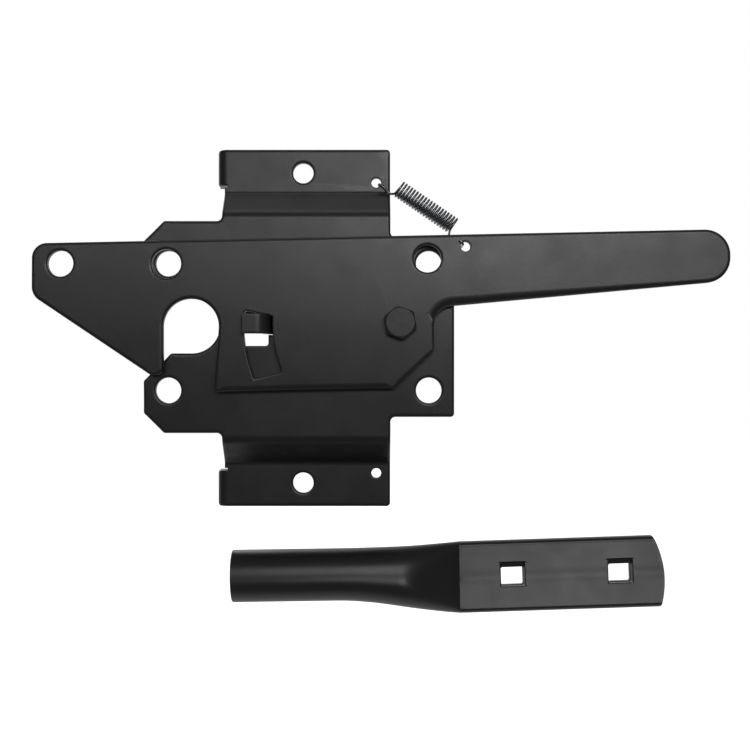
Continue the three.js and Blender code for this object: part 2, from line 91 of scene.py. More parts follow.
PLATE_LOW, PLATE_HIGH = box_mm("back_plate")
LEVER_LOW, LEVER_HIGH = box_mm("latch_lever")
BOLT_LOW, BOLT_HIGH = box_mm("pivot_bolt")
NUT_LOW, NUT_HIGH = box_mm("lock_nut")

# Back plate: lobes, throat and fastener holes, then the ears.
PLATE_FRONT = -11
PLATE_BACK = -8
LOBE_LEFT_TOP = 35.8
LOBE_RIGHT_TOP = 30.35
LOBE_CHAMFER = 6.8
CORNER = 1.3
INNER_CORNER = 1.7
THROAT_X = -44
NOTCH = (-37, 0.5, 9.4)             # x, z and radius of the round notch
FASTENERS = [(-45, 21.4), (42.85, 21.4), (-45, -21.4), (42.85, -21.4)]
FASTENER_RADIUS = 4.33
EAR_LEFT = -27
EAR_RIGHT = 29.9
EAR_TOP = PLATE_HIGH.z
EAR_HOLE = (0, 53.3, 3.53)          # x, z and radius
SPRING_HOLE_RADIUS = 1.7
JOGGLE_TOP = 46.4
FLANGE_ROOT = -26
FLANGE_BOTTOM = 49
FLANGE_RELIEF = 0.8
FLANGE_CORNER = 0.8
FLANGE_INNER = 0.5                  # inner radius of a flange's bend
FLANGE_ARC = math.pi / 2 * (FLANGE_INNER + (PLATE_BACK - PLATE_FRONT) / 2)   # along its middle
JOGGLE_INNER = 1.5                  # inner radius of a joggle's bends
JOGGLE_BENDS = ((36.3, 39.9), (43.6, 47.3))     # heights between which the sheet bends
PIVOT_HOLE = 3.25
WINDOW = {"left": -23, "right": -11.2, "bottom": -6.4, "slit": -8.8, "corner": 1}
TAB_TOP, TAB_BOTTOM = 3.1, -3.6
TAB_ROOT = -6.8
TAB_FOOT = (-9, -12, 1)             # x, y and inner radius of the bend out of the plate
TAB_HOOK = (-15, -14, 5)            # x, y and outer radius of the bend over the lever
TAB_TIP = -19.6
TAB_CORNER = 0.7
TAB_ROLL, WINDOW_ROLL, BORE_ROLL, SLOT_ROLL = 0.6, 0.5, 0.3, 0.55       # edge rolls
SPRING_ROLLS = (0.4, 0.5)           # of the ear's and the lever's spring hole, over the hole roll
TAB_SUNK = 0.02                     # keeps the tab's foot just inside the plate that it joins

# Latch lever.
LEVER_TOP_SLOPE = 0.02034
LEVER_TOP_LEFT = 27.79
BEAK_BOTTOM = 10.4
BEAK_RADII = (5, 5.3)               # of the beak's upper and lower corner
HOOK_TIP = (-50.2, -46, -16.2)      # left and right side, and bottom
HOOK_RADII = (1.1, 2.4)             # of the tip's outer and inner corner
MOUTH = (-26.7, 9.25, 9.25)         # right side, top and corner radius
HEEL = (-29, -21.9)
TOE = (30.9, -20.7)
SHOULDER = (44.4, -8, 6.29)         # x, its lower z and the z of the handle's root
HANDLE_SLOPE = 0.0909
HANDLE_END_RADIUS = 8.4
ROOT_RADIUS = 6.7
# x, z and radius of each large hole
LEVER_HOLES = [(-80.3, 21, 4.36), (-44.9, 20.9, 4.9), (42.2, 22.6, 4.6)]
LEVER_SPRING_HOLE = (54.9, 26.65, 1.65)     # x, z and radius, as above
LEVER_BOW = (4, 26)                 # middle height and half height of the lever's bow
BUSH_HOLE = 4.15
SLOT_RADII = (42.67, 52.2)
SLOT_ANGLES = (175.45, 202.5)
SLOT_CORNER = 1.3

# Striker bar, in its own frame: along it from the tube's cut end, y from the gate's face.
BAR_ORIGIN = (-23.55, -84.3)
BAR_TILT = math.radians(0.85)
TUBE_RADIUS = 8.8
BAR_LENGTH = 147.15
WIDEN_FROM = 35
WIDEN_CURVE = 0.8                   # 0 widens it as a plain square, 2 as an S curve
PRESS_FROM = 56.5
CREASE = 77.15
FLAT_HALF_WIDTH = 12.25
FLAT_HALF_THICK = 3
FOLD_WIDTH = (1.25, 1.85)           # how far in from its upper and lower sides the flat is rounded
PRESS_POWER = 1.6                   # how late the pressing reaches its full depth
RIDGE = (0.15, 2)                   # height and width of the seam pressed along the flat
DISH = 0.14                         # how far the flat stands up towards its sides
FLAT_DROP = -2.5
FLAT_SLOPE = 0.0173
BAR_WALL = 2.2
SEAM = 0.35
END_RADIUS = 32
END_DROP = 3
END_EASE = 0.25                     # chamfer of the tube's cut end
SQUARE_HOLES_X = (95.25, 132.05)
SQUARE_RISE = 0.9
SQUARE_SIDE = 8.3
SQUARE_TURN = math.radians(1.2)
SQUARE_CORNER = 0.6
BAR_DETAIL = 128                    # points round the bar
LIP = 1.9                           # how far the upper lip of a square hole is pressed down

# Coil of the return spring, along the line from the ear's hole to the lever's.
COIL_START = 7.1
COIL_END = 30.2
COIL_RISE = (2.85, 4.35)
COIL_DEPTH = (-4.5, -4.6)
COIL_LEAD = 0.12                    # share of a turn that each hook takes up
POINTS_PER_TURN = 26
RIM_GAP = 0.15                      # between a hook's wire and the rim of its hole

ARC_STEP = math.radians(6)
EDGE_STEP = 2.5
SUPPORT = 0.25
SHARP_LIMIT = 0.3                   # widest edge roll beside a sharp corner


# ------------------------------------------------------------------ settings
class LatchSheetSettings(bpy.types.PropertyGroup):
    thickness: bpy.props.FloatProperty(
        name="Sheet", description="Thickness of the plate and of the lever",
        default=3 * MM, min=1 * MM, max=6 * MM, subtype="DISTANCE", unit="LENGTH", precision=4)
    edge_roll: bpy.props.FloatProperty(
        name="Edge roll", description="How far in from a blanked edge the front face rolls over",
        default=1.15 * MM, min=0.1 * MM, max=3 * MM, subtype="DISTANCE", unit="LENGTH", precision=5)
    plate_bow: bpy.props.FloatProperty(
        name="Plate bow", description="How far pressing leaves the plate's middle standing forward",
        default=0.55 * MM, min=0, max=1 * MM, subtype="DISTANCE", unit="LENGTH", precision=5)
    lever_bow: bpy.props.FloatProperty(
        name="Lever bow", description="How far stamping leaves the lever's middle standing forward",
        default=0.4 * MM, min=0, max=1 * MM, subtype="DISTANCE", unit="LENGTH", precision=5)
    hole_roll: bpy.props.FloatProperty(
        name="Hole roll", description="How far out from a pierced hole the front face rolls over",
        default=0.9 * MM, min=0.1 * MM, max=2 * MM, subtype="DISTANCE", unit="LENGTH", precision=5)
    handle_roll: bpy.props.FloatProperty(
        name="Handle roll", description="The wider roll under the lever's handle",
        default=3.2 * MM, min=0.1 * MM, max=4 * MM, subtype="DISTANCE", unit="LENGTH", precision=5)


class LatchHardwareSettings(bpy.types.PropertyGroup):
    across_flats: bpy.props.FloatProperty(
        name="Across flats", description="Spanner size of the pivot bolt and of its nut",
        default=10 * MM, min=6 * MM, max=16 * MM, subtype="DISTANCE", unit="LENGTH", precision=4)
    pitch: bpy.props.FloatProperty(
        name="Thread pitch", description="Distance from one thread crest to the next",
        default=1 * MM, min=0.4 * MM, max=2 * MM, subtype="DISTANCE", unit="LENGTH", precision=4)


class LatchSpringSettings(bpy.types.PropertyGroup):
    wire: bpy.props.FloatProperty(
        name="Wire", description="Diameter of the spring's wire", default=0.8 * MM,
        min=0.3 * MM, max=1.5 * MM, subtype="DISTANCE", unit="LENGTH", precision=5)
    coil: bpy.props.FloatProperty(
        name="Coil", description="Mean diameter of the coil",
        default=5.4 * MM, min=3 * MM, max=8 * MM, subtype="DISTANCE", unit="LENGTH", precision=4)
    turns: bpy.props.IntProperty(
        name="Turns", description="Turns in the coil", default=20, min=6, max=40)


class LatchFinishSettings(bpy.types.PropertyGroup):
    coat: bpy.props.FloatVectorProperty(
        name="Coat", description="Colour of the powder coat",
        default=(0.0105, 0.0107, 0.0112), min=0, max=1, size=3, subtype="COLOR")
    roughness: bpy.props.FloatProperty(
        name="Roughness", description="Mean roughness of the powder coat",
        default=0.33, min=0.1, max=1, subtype="FACTOR")
    peel: bpy.props.FloatProperty(
        name="Orange peel", description="Spacing of the coat's gentle waves",
        default=1.3 * MM, min=0.2 * MM, max=5 * MM, subtype="DISTANCE", unit="LENGTH", precision=4)
    zinc: bpy.props.FloatVectorProperty(
        name="Zinc", description="Colour of the zinc plated pieces",
        default=(0.42, 0.43, 0.45), min=0, max=1, size=3, subtype="COLOR")
    wire: bpy.props.FloatVectorProperty(
        name="Spring steel", description="Colour of the spring's drawn wire",
        default=(0.2, 0.205, 0.215), min=0, max=1, size=3, subtype="COLOR")
    nylon: bpy.props.FloatVectorProperty(
        name="Nylon", description="Colour of the lock nut's insert",
        default=(0.66, 0.65, 0.58), min=0, max=1, size=3, subtype="COLOR")


class LatchStageSettings(bpy.types.PropertyGroup):
    camera: bpy.props.FloatVectorProperty(
        name="Camera", description="Where the camera stands, looking straight at the post",
        default=(0.0247, -0.4156, -0.0162), size=3, subtype="XYZ", unit="LENGTH")
    lens: bpy.props.FloatProperty(
        name="Lens", description="Focal length of the camera, in millimetres",
        default=57.6, min=20, max=200)
    floor: bpy.props.FloatVectorProperty(
        name="Floor", description="Colour of the floor",
        default=(0.86, 0.86, 0.86), min=0, max=1, size=3, subtype="COLOR")
    floor_height: bpy.props.FloatProperty(
        name="Floor height", description="Height of the floor, below the latch",
        default=-0.19, subtype="DISTANCE", unit="LENGTH")
    key: bpy.props.FloatProperty(
        name="Key light", default=7.5, min=0,
        description="Brightness of the soft light above and to the right, in W/m2/sr")
    fill: bpy.props.FloatProperty(
        name="Fill light", default=2.3, min=0,
        description="Brightness of the soft light above and to the left, in W/m2/sr")
    bar_key: bpy.props.FloatProperty(
        name="Bar light", default=3, min=0,
        description="Brightness of the soft light on the striker bar, in W/m2/sr")
    bar_fill: bpy.props.FloatProperty(
        name="Bar fill", default=4, min=0,
        description="Brightness of the low soft light on the bar's flat, in W/m2/sr")
    top: bpy.props.FloatProperty(
        name="Top light", default=0.85, min=0,
        description="Brightness of the soft light straight above, in W/m2/sr")
    rear: bpy.props.FloatProperty(
        name="Rear light", default=1.5, min=0,
        description="Brightness of the soft light behind the post's face, in W/m2/sr")
    ambient: bpy.props.FloatProperty(
        name="Ambient", description="Brightness of the dim room in front", default=0.19, min=0)
    backdrop: bpy.props.FloatProperty(
        name="Backdrop", default=0.8, min=0,
        description="Brightness of the white backdrop behind the latch")


# ------------------------------------------------------------------ outlines
def trace(corners):
    """Points of a closed outline with true arcs, the metal on its left.

    Each is (point, limit), where limit is the widest edge roll that fits there.
    """
    points = []
    for i, (x, z, radius) in enumerate(corners):
        here = Vector((x, z))
        back = (Vector(corners[i - 1][:2]) - here).normalized()
        ahead = (Vector(corners[(i + 1) % len(corners)][:2]) - here).normalized()
        if not radius:
            points.append((here, SHARP_LIMIT))
            continue
        half = back.angle(ahead) / 2
        outward = back.cross(ahead) < 0
        enter = here + back * (radius / math.tan(half))
        centre = here + (back + ahead).normalized() * (radius / math.sin(half))
        sweep = (math.pi - 2 * half) * (1 if outward else -1)
        steps = max(4, math.ceil(abs(sweep) / ARC_STEP))
        for k in range(steps + 1):
            spoke = Matrix.Rotation(sweep * k / steps, 2) @ (enter - centre)
            points.append((centre + spoke, radius if outward else math.inf))
    return spaced(points)


def spaced(points):
    """The same closed outline, with no stretch longer than EDGE_STEP."""
    filled = []
    for i, (here, limit) in enumerate(points):
        after = points[(i + 1) % len(points)][0]
        parts = max(1, math.ceil((after - here).length / EDGE_STEP))
        filled.append((here, limit))
        filled += [(here.lerp(after, k / parts), math.inf) for k in range(1, parts)]
    return filled


def round_hole(x, z, radius):
    """A hole's outline, clockwise, so that the metal is on its left."""
    steps = max(24, math.ceil(2 * math.pi / ARC_STEP))
    angles = [-2 * math.pi * k / steps for k in range(steps)]
    return [(Vector((x + radius * math.cos(a), z + radius * math.sin(a))), math.inf)
            for a in angles]


def inward(points):
    """Mitred directions into the metal, one for each point of a closed outline."""
    found = []
    for i, point in enumerate(points):
        before = (point - points[i - 1]).normalized()
        after = (points[(i + 1) % len(points)] - point).normalized()
        left, right = Vector((-before.y, before.x)), Vector((-after.y, after.x))
        found.append((left + right) / max(0.3, 1 + left.dot(right)))
    return found


def roll_widths(outline, wanted):
    """The edge roll's width at each point: wanted(x, z), or less where a tight corner is near."""
    points = [point for point, _ in outline]
    along = [0]
    for i in range(1, len(points)):
        along.append(along[-1] + (points[i] - points[i - 1]).length)
    total = along[-1] + (points[0] - points[-1]).length
    tight = [(s, max(limit - 1.6 * SUPPORT, SHARP_LIMIT)) for s, (_, limit) in zip(along, outline)
             if limit < 4]
    widths = []
    for s, point in zip(along, points):
        width = wanted(point.x, point.y)
        for where, limit in tight:
            gap = abs(s - where)
            width = min(width, limit + 0.5 * min(gap, total - gap))
        widths.append(width)
    return widths


# ------------------------------------------------------------------ mesh makers
INSIDE_ONLY = 1                     # the triangulator's output kind
ROLL_STEPS = 6
BACK_ROLL = 0.35
ROLL_DEPTH = 0.55                   # depth of an edge roll over its width


def edge_profile(thickness):
    """Rings round a sheet's edge, as (share of the width, inset, share of the depth, depth)."""
    rings = [(1, SUPPORT, 0, 0)]
    for k in range(ROLL_STEPS + 1):
        turn = math.pi / 2 * k / ROLL_STEPS
        rings.append((1 - math.sin(turn), 0, 1 - math.cos(turn), 0))
    for k in range(ROLL_STEPS // 2 + 1):
        turn = math.pi / 2 * k / (ROLL_STEPS // 2)
        drop = BACK_ROLL * (1 - math.sin(turn))
        rings.append((0, BACK_ROLL * (1 - math.cos(turn)), 0, thickness - drop))
    rings.append((0, BACK_ROLL + SUPPORT, 0, thickness))
    return rings


def add_sheet(bm, outlines, thickness):
    """A flat sheet with rolled edges, its front face at y = 0 and its back at y = thickness.

    outlines holds (outline, wanted roll width) pairs, the outer one first.
    """
    caps = {0: [], -1: []}
    for outline, wanted in outlines:
        points = [point for point, _ in outline]
        widths = roll_widths(outline, wanted)
        into = inward(points)
        rings = []
        for share, inset, drop, depth in edge_profile(thickness):
            ring = []
            for point, width, direction in zip(points, widths, into):
                flat = point + direction * (share * width + inset)
                ring.append(bm.verts.new((flat.x, drop * width * ROLL_DEPTH + depth, flat.y)))
            rings.append(ring)
        bridge(bm, rings)
        for end in caps:
            caps[end].append(rings[end])
    for loops in caps.values():
        fill_flat(bm, loops)


def fill_flat(bm, loops):
    """Fills the flat between an outer loop and its holes with well shaped triangles."""
    verts = [vert for loop in loops for vert in loop]
    owner = [number for number, loop in enumerate(loops) for _ in loop]
    edges, first = [], 0
    for loop in loops:
        edges += [(first + i, first + (i + 1) % len(loop)) for i in range(len(loop))]
        first += len(loop)
    flat = [Vector((vert.co.x, vert.co.z)) for vert in verts]
    rims = [[Vector((vert.co.x, vert.co.z)) for vert in loop] for loop in loops]
    _, _, triangles, sources, _, _ = delaunay_2d_cdt(flat, edges, [], INSIDE_ONLY, 1e-6)
    for triangle in triangles:
        corners = [sources[i][0] for i in triangle]
        owners = {owner[i] for i in corners}
        middle = sum((flat[i] for i in corners), Vector((0, 0))) / 3
        if len(owners) > 1 or 0 in owners or not encloses(rims[owners.pop()], middle):
            bm.faces.new([verts[i] for i in corners])


def encloses(rim, point):
    """Whether a closed outline goes round a point."""
    inside = False
    for before, after in zip(rim, rim[1:] + rim[:1]):
        if (before.y > point.y) != (after.y > point.y):
            share = (point.y - before.y) / (after.y - before.y)
            if point.x < before.x + share * (after.x - before.x):
                inside = not inside
    return inside


def bridge(bm, rings, closed=False):
    """Faces between closed rings of equal length, and from the last to the first if closed."""
    pairs = list(zip(rings, rings[1:])) + ([(rings[-1], rings[0])] if closed else [])
    for near, far in pairs:
        for i in range(len(near)):
            j = (i + 1) % len(near)
            bm.faces.new((near[i], near[j], far[j], far[i]))


def cut_across(bm, axis, places, wanted=lambda face: True):
    """New edges across the wanted faces at each place along an axis."""
    normal = Vector((0, 0, 0))
    normal[axis] = 1
    for place in places:
        faces = [face for face in bm.faces if wanted(face)]
        geometry = list({item for face in faces for item in (*face.verts, *face.edges, face)})
        bmesh.ops.bisect_plane(bm, geom=geometry, dist=1e-5, plane_co=normal * place,
                               plane_no=normal)


def bow(bm, amount, middle, half_height):
    """Bows a sheet forward across its height, as pressing leaves it."""
    for vert in bm.verts:
        off = (vert.co.z - middle) / half_height
        vert.co.y -= amount * max(0, 1 - off * off)


def spread(low, high, count):
    """Evenly spaced numbers from low to high."""
    return [low + (high - low) * k / (count - 1) for k in range(count)]


def turned_rings(bm, profile, centre, segments=96):
    """Rings about an axis along y through centre (x, z), from pairs of a radius and a y.

    Either may be a function of the angle.
    """
    rings = []
    for radius, depth in profile:
        ring = []
        for k in range(segments):
            angle = 2 * math.pi * k / segments
            r = radius(angle) if callable(radius) else radius
            y = depth(angle) if callable(depth) else depth
            x, z = centre[0] + r * math.cos(angle), centre[1] + r * math.sin(angle)
            ring.append(bm.verts.new((x, y, z)))
        rings.append(ring)
    return rings


def add_washer(bm, inner, outer, front, back, ease):
    """A flat ring with eased edges."""
    lip = ease * 0.3
    profile = [(inner + ease, front), (outer - ease, front), (outer - lip, front + lip),
               (outer, front + ease), (outer, back - ease), (outer - lip, back - lip),
               (outer - ease, back), (inner + ease, back),
               (inner, back - ease), (inner, front + ease)]
    bridge(bm, turned_rings(bm, profile, (PIVOT.x, PIVOT.z)), closed=True)


def tube_along(bm, path, radius, sides):
    """A round wire along a list of points, closed at both ends with small domes."""
    tangents = []
    for i in range(len(path)):
        before, after = path[max(i - 1, 0)], path[min(i + 1, len(path) - 1)]
        tangents.append((after - before).normalized())
    normal = tangents[0].orthogonal().normalized()
    rings = []

    def ring(at, tangent, size):
        side = tangent.cross(normal)
        return [bm.verts.new(at + (normal * math.cos(a) + side * math.sin(a)) * size)
                for a in spread(0, 2 * math.pi * (sides - 1) / sides, sides)]

    for i, (point, tangent) in enumerate(zip(path, tangents)):
        normal = (normal - tangent * normal.dot(tangent)).normalized()
        if i == 0:
            rings.append(ring(point - tangent * radius * 0.5, tangent, radius * 0.75))
        rings.append(ring(point, tangent, radius))
        if i == len(path) - 1:
            rings.append(ring(point + tangent * radius * 0.5, tangent, radius * 0.75))
    bridge(bm, rings)
    bm.faces.new(rings[0])
    bm.faces.new(rings[-1])


def smooth_path(points, step):
    """Points no further than about step apart on a smooth curve through the given ones."""
    ends = [points[0] * 2 - points[1], *points, points[-1] * 2 - points[-2]]
    path = []
    for i in range(1, len(ends) - 2):
        a, b, c, d = ends[i - 1:i + 3]
        parts = max(1, math.ceil((c - b).length / step))
        for k in range(parts):
            t = k / parts
            path.append(0.5 * (2 * b + (c - a) * t + (2 * a - 5 * b + 4 * c - d) * t * t
                               + (3 * b - a - 3 * c + d) * t * t * t))
    return [*path, points[-1]]


def finished(name, bm, finish, body, nodes, slot, crisp=38):
    """Turns a mesh in millimetres into a named piece that rides on its body.

    Edges sharper than crisp, in degrees, aren't shaded smooth.
    """
    bmesh.ops.recalc_face_normals(bm, faces=bm.faces)
    mesh = bpy.data.meshes.new(name)
    bm.to_mesh(mesh)
    bm.free()
    if not mesh.polygons:
        raise RuntimeError(name + " has no faces")
    mesh.transform(Matrix.Scale(MM, 4))
    mesh.shade_smooth()
    mesh.set_sharp_from_angle(angle=math.radians(crisp))
    piece = bpy.data.objects.new(name, mesh)
    bpy.context.scene.collection.objects.link(piece)
    mesh.materials.append(finish)
    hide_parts(*nodes)
    if body:
        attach(piece, body)
    return piece


def joined(first, other, operation="UNION"):
    """The mesh of first after a boolean with other, as a new bmesh; both are used up."""
    made = []
    for name, bm in (("first", first), ("other", other)):
        bmesh.ops.recalc_face_normals(bm, faces=bm.faces)
        mesh = bpy.data.meshes.new(name)
        bm.to_mesh(mesh)
        bm.free()
        thing = bpy.data.objects.new(name, mesh)
        bpy.context.scene.collection.objects.link(thing)
        made.append(thing)
    cut = made[0].modifiers.new("join", "BOOLEAN")
    cut.object = made[1]
    cut.operation = operation
    cut.solver = "MANIFOLD"
    evaluated = made[0].evaluated_get(bpy.context.evaluated_depsgraph_get())
    result = bmesh.new()
    result.from_mesh(evaluated.to_mesh())
    if not result.faces:
        raise RuntimeError("the boolean left nothing")
    for thing in made:
        bpy.data.meshes.remove(thing.data)
    return result


# ------------------------------------------------------------------ finishes
class Nodes:
    """Short ways to build a material's node tree."""

    def __init__(self, name):
        self.material = bpy.data.materials.new(name)
        self.material.use_nodes = True
        self.tree = self.material.node_tree
        self.tree.nodes.clear()
        self.shader = self.node("ShaderNodeBsdfPrincipled")
        output = self.node("ShaderNodeOutputMaterial")
        self.link(self.shader.outputs["BSDF"], output.inputs["Surface"])
        self.place = self.node("ShaderNodeTexCoord").outputs["Object"]

    def node(self, kind, **inputs):
        """A new node; an input's name is written with _ for each space."""
        made = self.tree.nodes.new(kind)
        for key, value in inputs.items():
            self.put(made.inputs[key.replace("_", " ")], value)
        return made

    def put(self, socket, value):
        """Links a socket's source, or sets a plain value."""
        if isinstance(value, bpy.types.NodeSocket):
            self.link(value, socket)
        else:
            socket.default_value = value

    def link(self, source, target):
        self.tree.links.new(source, target)

    def noise(self, size, detail):
        """A noise whose features are about size metres across."""
        made = self.node("ShaderNodeTexNoise", Vector=self.place, Scale=1 / size, Detail=detail)
        return made.outputs["Fac"]

    def ramp(self, value, low, high, to_low, to_high):
        """A value stretched from low..high to to_low..to_high."""
        made = self.node("ShaderNodeMapRange", Value=value)
        limits = {"From Min": low, "From Max": high, "To Min": to_low, "To Max": to_high}
        for key, number in limits.items():
            made.inputs[key].default_value = number
        return made.outputs["Result"]

    def mix(self, factor, low, high):
        """A colour from low to high."""
        made = self.node("ShaderNodeMix")
        made.data_type = "RGBA"
        self.put(made.inputs["Factor"], factor)
        colours = [socket for socket in made.inputs if socket.type == "RGBA"]
        self.put(colours[0], low)
        self.put(colours[1], high)
        return [socket for socket in made.outputs if socket.type == "RGBA"][0]

    def math(self, operation, a, b):
        """One operation on two values."""
        made = self.node("ShaderNodeMath")
        made.operation = operation
        self.put(made.inputs[0], a)
        self.put(made.inputs[1], b)
        return made.outputs[0]

    def bump(self, height, distance, before=None):
        """A bump of a height in metres, on top of the one before."""
        made = self.node("ShaderNodeBump", Height=height, Distance=distance)
        if before:
            self.link(before, made.inputs["Normal"])
        return made.outputs["Normal"]

    def set(self, **inputs):
        """Sets or links inputs of the surface's shader."""
        for key, value in inputs.items():
            self.put(self.shader.inputs[key.replace("_", " ")], value)


def shaded(colour, factor):
    """A colour made darker or lighter, with its alpha."""
    return (*[min(1, part * factor) for part in colour], 1)


def powder_coat(settings):
    """Satin black powder coat: orange peel, a fine grain, cloudy gloss and rubbed convex edges."""
    nodes = Nodes("satin_black_powder_coat")
    colour = tuple(settings.coat)
    cloud = nodes.noise(0.03, 3)
    rub = nodes.ramp(nodes.node("ShaderNodeNewGeometry").outputs["Pointiness"], 0.52, 0.6, 0, 1)
    rubbed = nodes.math("MULTIPLY", rub, nodes.noise(0.004, 3))
    base = nodes.mix(cloud, shaded(colour, 0.85), shaded(colour, 1.2))
    nodes.set(Base_Color=nodes.mix(rubbed, base, shaded(colour, 2.4)))
    rough = settings.roughness
    gloss = nodes.ramp(nodes.noise(0.009, 4), 0.3, 0.7, rough - 0.03, rough + 0.03)
    nodes.set(Roughness=nodes.math("SUBTRACT", gloss, nodes.math("MULTIPLY", rubbed, 0.08)))
    peel = nodes.bump(nodes.noise(settings.peel, 1), 0.000012)
    nodes.set(Normal=nodes.bump(nodes.noise(0.00022, 2), 0.000003, before=peel))
    return nodes.material


def blackened_steel(settings):
    """The bolt's and nut's blackened steel: darker and a little glossier, with faint tool marks."""
    nodes = Nodes("blackened_steel")
    colour = tuple(settings.coat)
    nodes.set(Base_Color=nodes.mix(nodes.noise(0.002, 4), shaded(colour, 0.9), shaded(colour, 1.7)))
    nodes.set(Roughness=nodes.ramp(nodes.noise(0.0015, 4), 0.3, 0.7, 0.36, 0.48))
    nodes.set(Normal=nodes.bump(nodes.noise(0.0006, 3), 0.000012))
    return nodes.material


def zinc_plate(settings):
    """Zinc plating: pale grey metal with a soft cloudy gloss."""
    nodes = Nodes("zinc_plated_steel")
    colour = tuple(settings.zinc)
    cloud = nodes.noise(0.003, 4)
    nodes.set(Base_Color=nodes.mix(cloud, shaded(colour, 0.8), shaded(colour, 1.15)), Metallic=1.0)
    nodes.set(Roughness=nodes.ramp(nodes.noise(0.001, 3), 0.3, 0.7, 0.28, 0.42))
    nodes.set(Normal=nodes.bump(nodes.noise(0.0004, 3), 0.000008))
    return nodes.material


def drawn_wire(settings):
    """Drawn spring wire: dark bright steel with fine variation along it."""
    nodes = Nodes("drawn_spring_wire")
    colour = tuple(settings.wire)
    cloud = nodes.noise(0.002, 3)
    nodes.set(Base_Color=nodes.mix(cloud, shaded(colour, 0.75), shaded(colour, 1.25)), Metallic=1.0)
    nodes.set(Roughness=nodes.ramp(nodes.noise(0.0008, 3), 0.3, 0.7, 0.2, 0.32))
    nodes.set(Normal=nodes.bump(nodes.noise(0.0003, 2), 0.000004))
    return nodes.material


def nylon(settings):
    """The lock nut's off-white nylon."""
    nodes = Nodes("off_white_nylon")
    colour = tuple(settings.nylon)
    cloud = nodes.noise(0.002, 2)
    nodes.set(Base_Color=nodes.mix(cloud, shaded(colour, 0.9), shaded(colour, 1.05)), Roughness=0.5)
    nodes.set(Subsurface_Weight=0.1, Subsurface_Radius=(0.001, 0.001, 0.001))
    nodes.set(Normal=nodes.bump(nodes.noise(0.0005, 2), 0.00001))
    return nodes.material


FINISHES = {"coat": powder_coat, "blackened": blackened_steel, "zinc": zinc_plate,
            "wire": drawn_wire, "nylon": nylon}


def finish_of(context, kind):
    """The material of a finish, made once."""
    made = context.scene.get("latch_finish_" + kind)
    if made is None:
        made = FINISHES[kind](context.scene.latch_finish)
        context.scene["latch_finish_" + kind] = made
    return made


# ------------------------------------------------------------------ back plate
def plate_corners():
    """The plate's flat blank, with each flange laid out straight at its ear's side."""
    notch_x, notch_z, notch_radius = NOTCH
    flange_end = FLANGE_ROOT - FLANGE_ARC - (PLATE_HIGH.y - FLANGE_INNER)

    def half(side):
        throat = notch_z + side * notch_radius
        return [
            (notch_x + notch_radius, throat, notch_radius),
            (THROAT_X, throat, CORNER),
            (PLATE_LOW.x, throat + side * (THROAT_X - PLATE_LOW.x), CORNER),
            (PLATE_LOW.x, side * (LOBE_LEFT_TOP - LOBE_CHAMFER), CORNER),
            (PLATE_LOW.x + LOBE_CHAMFER, side * LOBE_LEFT_TOP, CORNER),
            (EAR_LEFT, side * LOBE_LEFT_TOP, INNER_CORNER),
            (EAR_LEFT, side * (FLANGE_BOTTOM - FLANGE_RELIEF), 0),
            (FLANGE_ROOT, side * (FLANGE_BOTTOM - FLANGE_RELIEF), 0),
            (FLANGE_ROOT, side * FLANGE_BOTTOM, 0),
            (flange_end, side * FLANGE_BOTTOM, FLANGE_CORNER),
            (flange_end, side * EAR_TOP, FLANGE_CORNER),
            (EAR_RIGHT, side * EAR_TOP, CORNER),
            (EAR_RIGHT, side * LOBE_RIGHT_TOP, INNER_CORNER),
            (PLATE_HIGH.x, side * LOBE_RIGHT_TOP, CORNER),
        ]

    return half(-1) + half(1)[::-1]


def window_corners():
    """The window that the tab was cut from, cut along the tab's top, with a slit below its foot."""
    slit_top, slit_bottom = PIVOT.z + TAB_TOP + SUPPORT, PIVOT.z + TAB_BOTTOM - SUPPORT
    left, right, radius = WINDOW["left"], WINDOW["right"], WINDOW["corner"]
    return [
        (left, WINDOW["bottom"], radius), (left, slit_top, radius),
        (WINDOW["slit"], slit_top, 0), (WINDOW["slit"], slit_bottom, 0),
        (right, slit_bottom, 0), (right, WINDOW["bottom"], radius),
    ]


def joggle(height, corner, low, high, low_radius, high_radius):
    """y of one face of the sheet, which steps back at 45 degrees with rounded bends."""
    chord = math.tan(math.pi / 8)
    lean = math.cos(math.pi / 4)
    top = corner + high - low
    if height < corner - low_radius * chord:
        return low
    if height < corner + low_radius * chord * lean:
        run = height - (corner - low_radius * chord)
        return low + low_radius - math.sqrt(low_radius ** 2 - run ** 2)
    if height < top - high_radius * chord * lean:
        return low + height - corner
    if height < top + high_radius * chord:
        run = top + high_radius * chord - height
        return high - high_radius + math.sqrt(high_radius ** 2 - run ** 2)
    return high


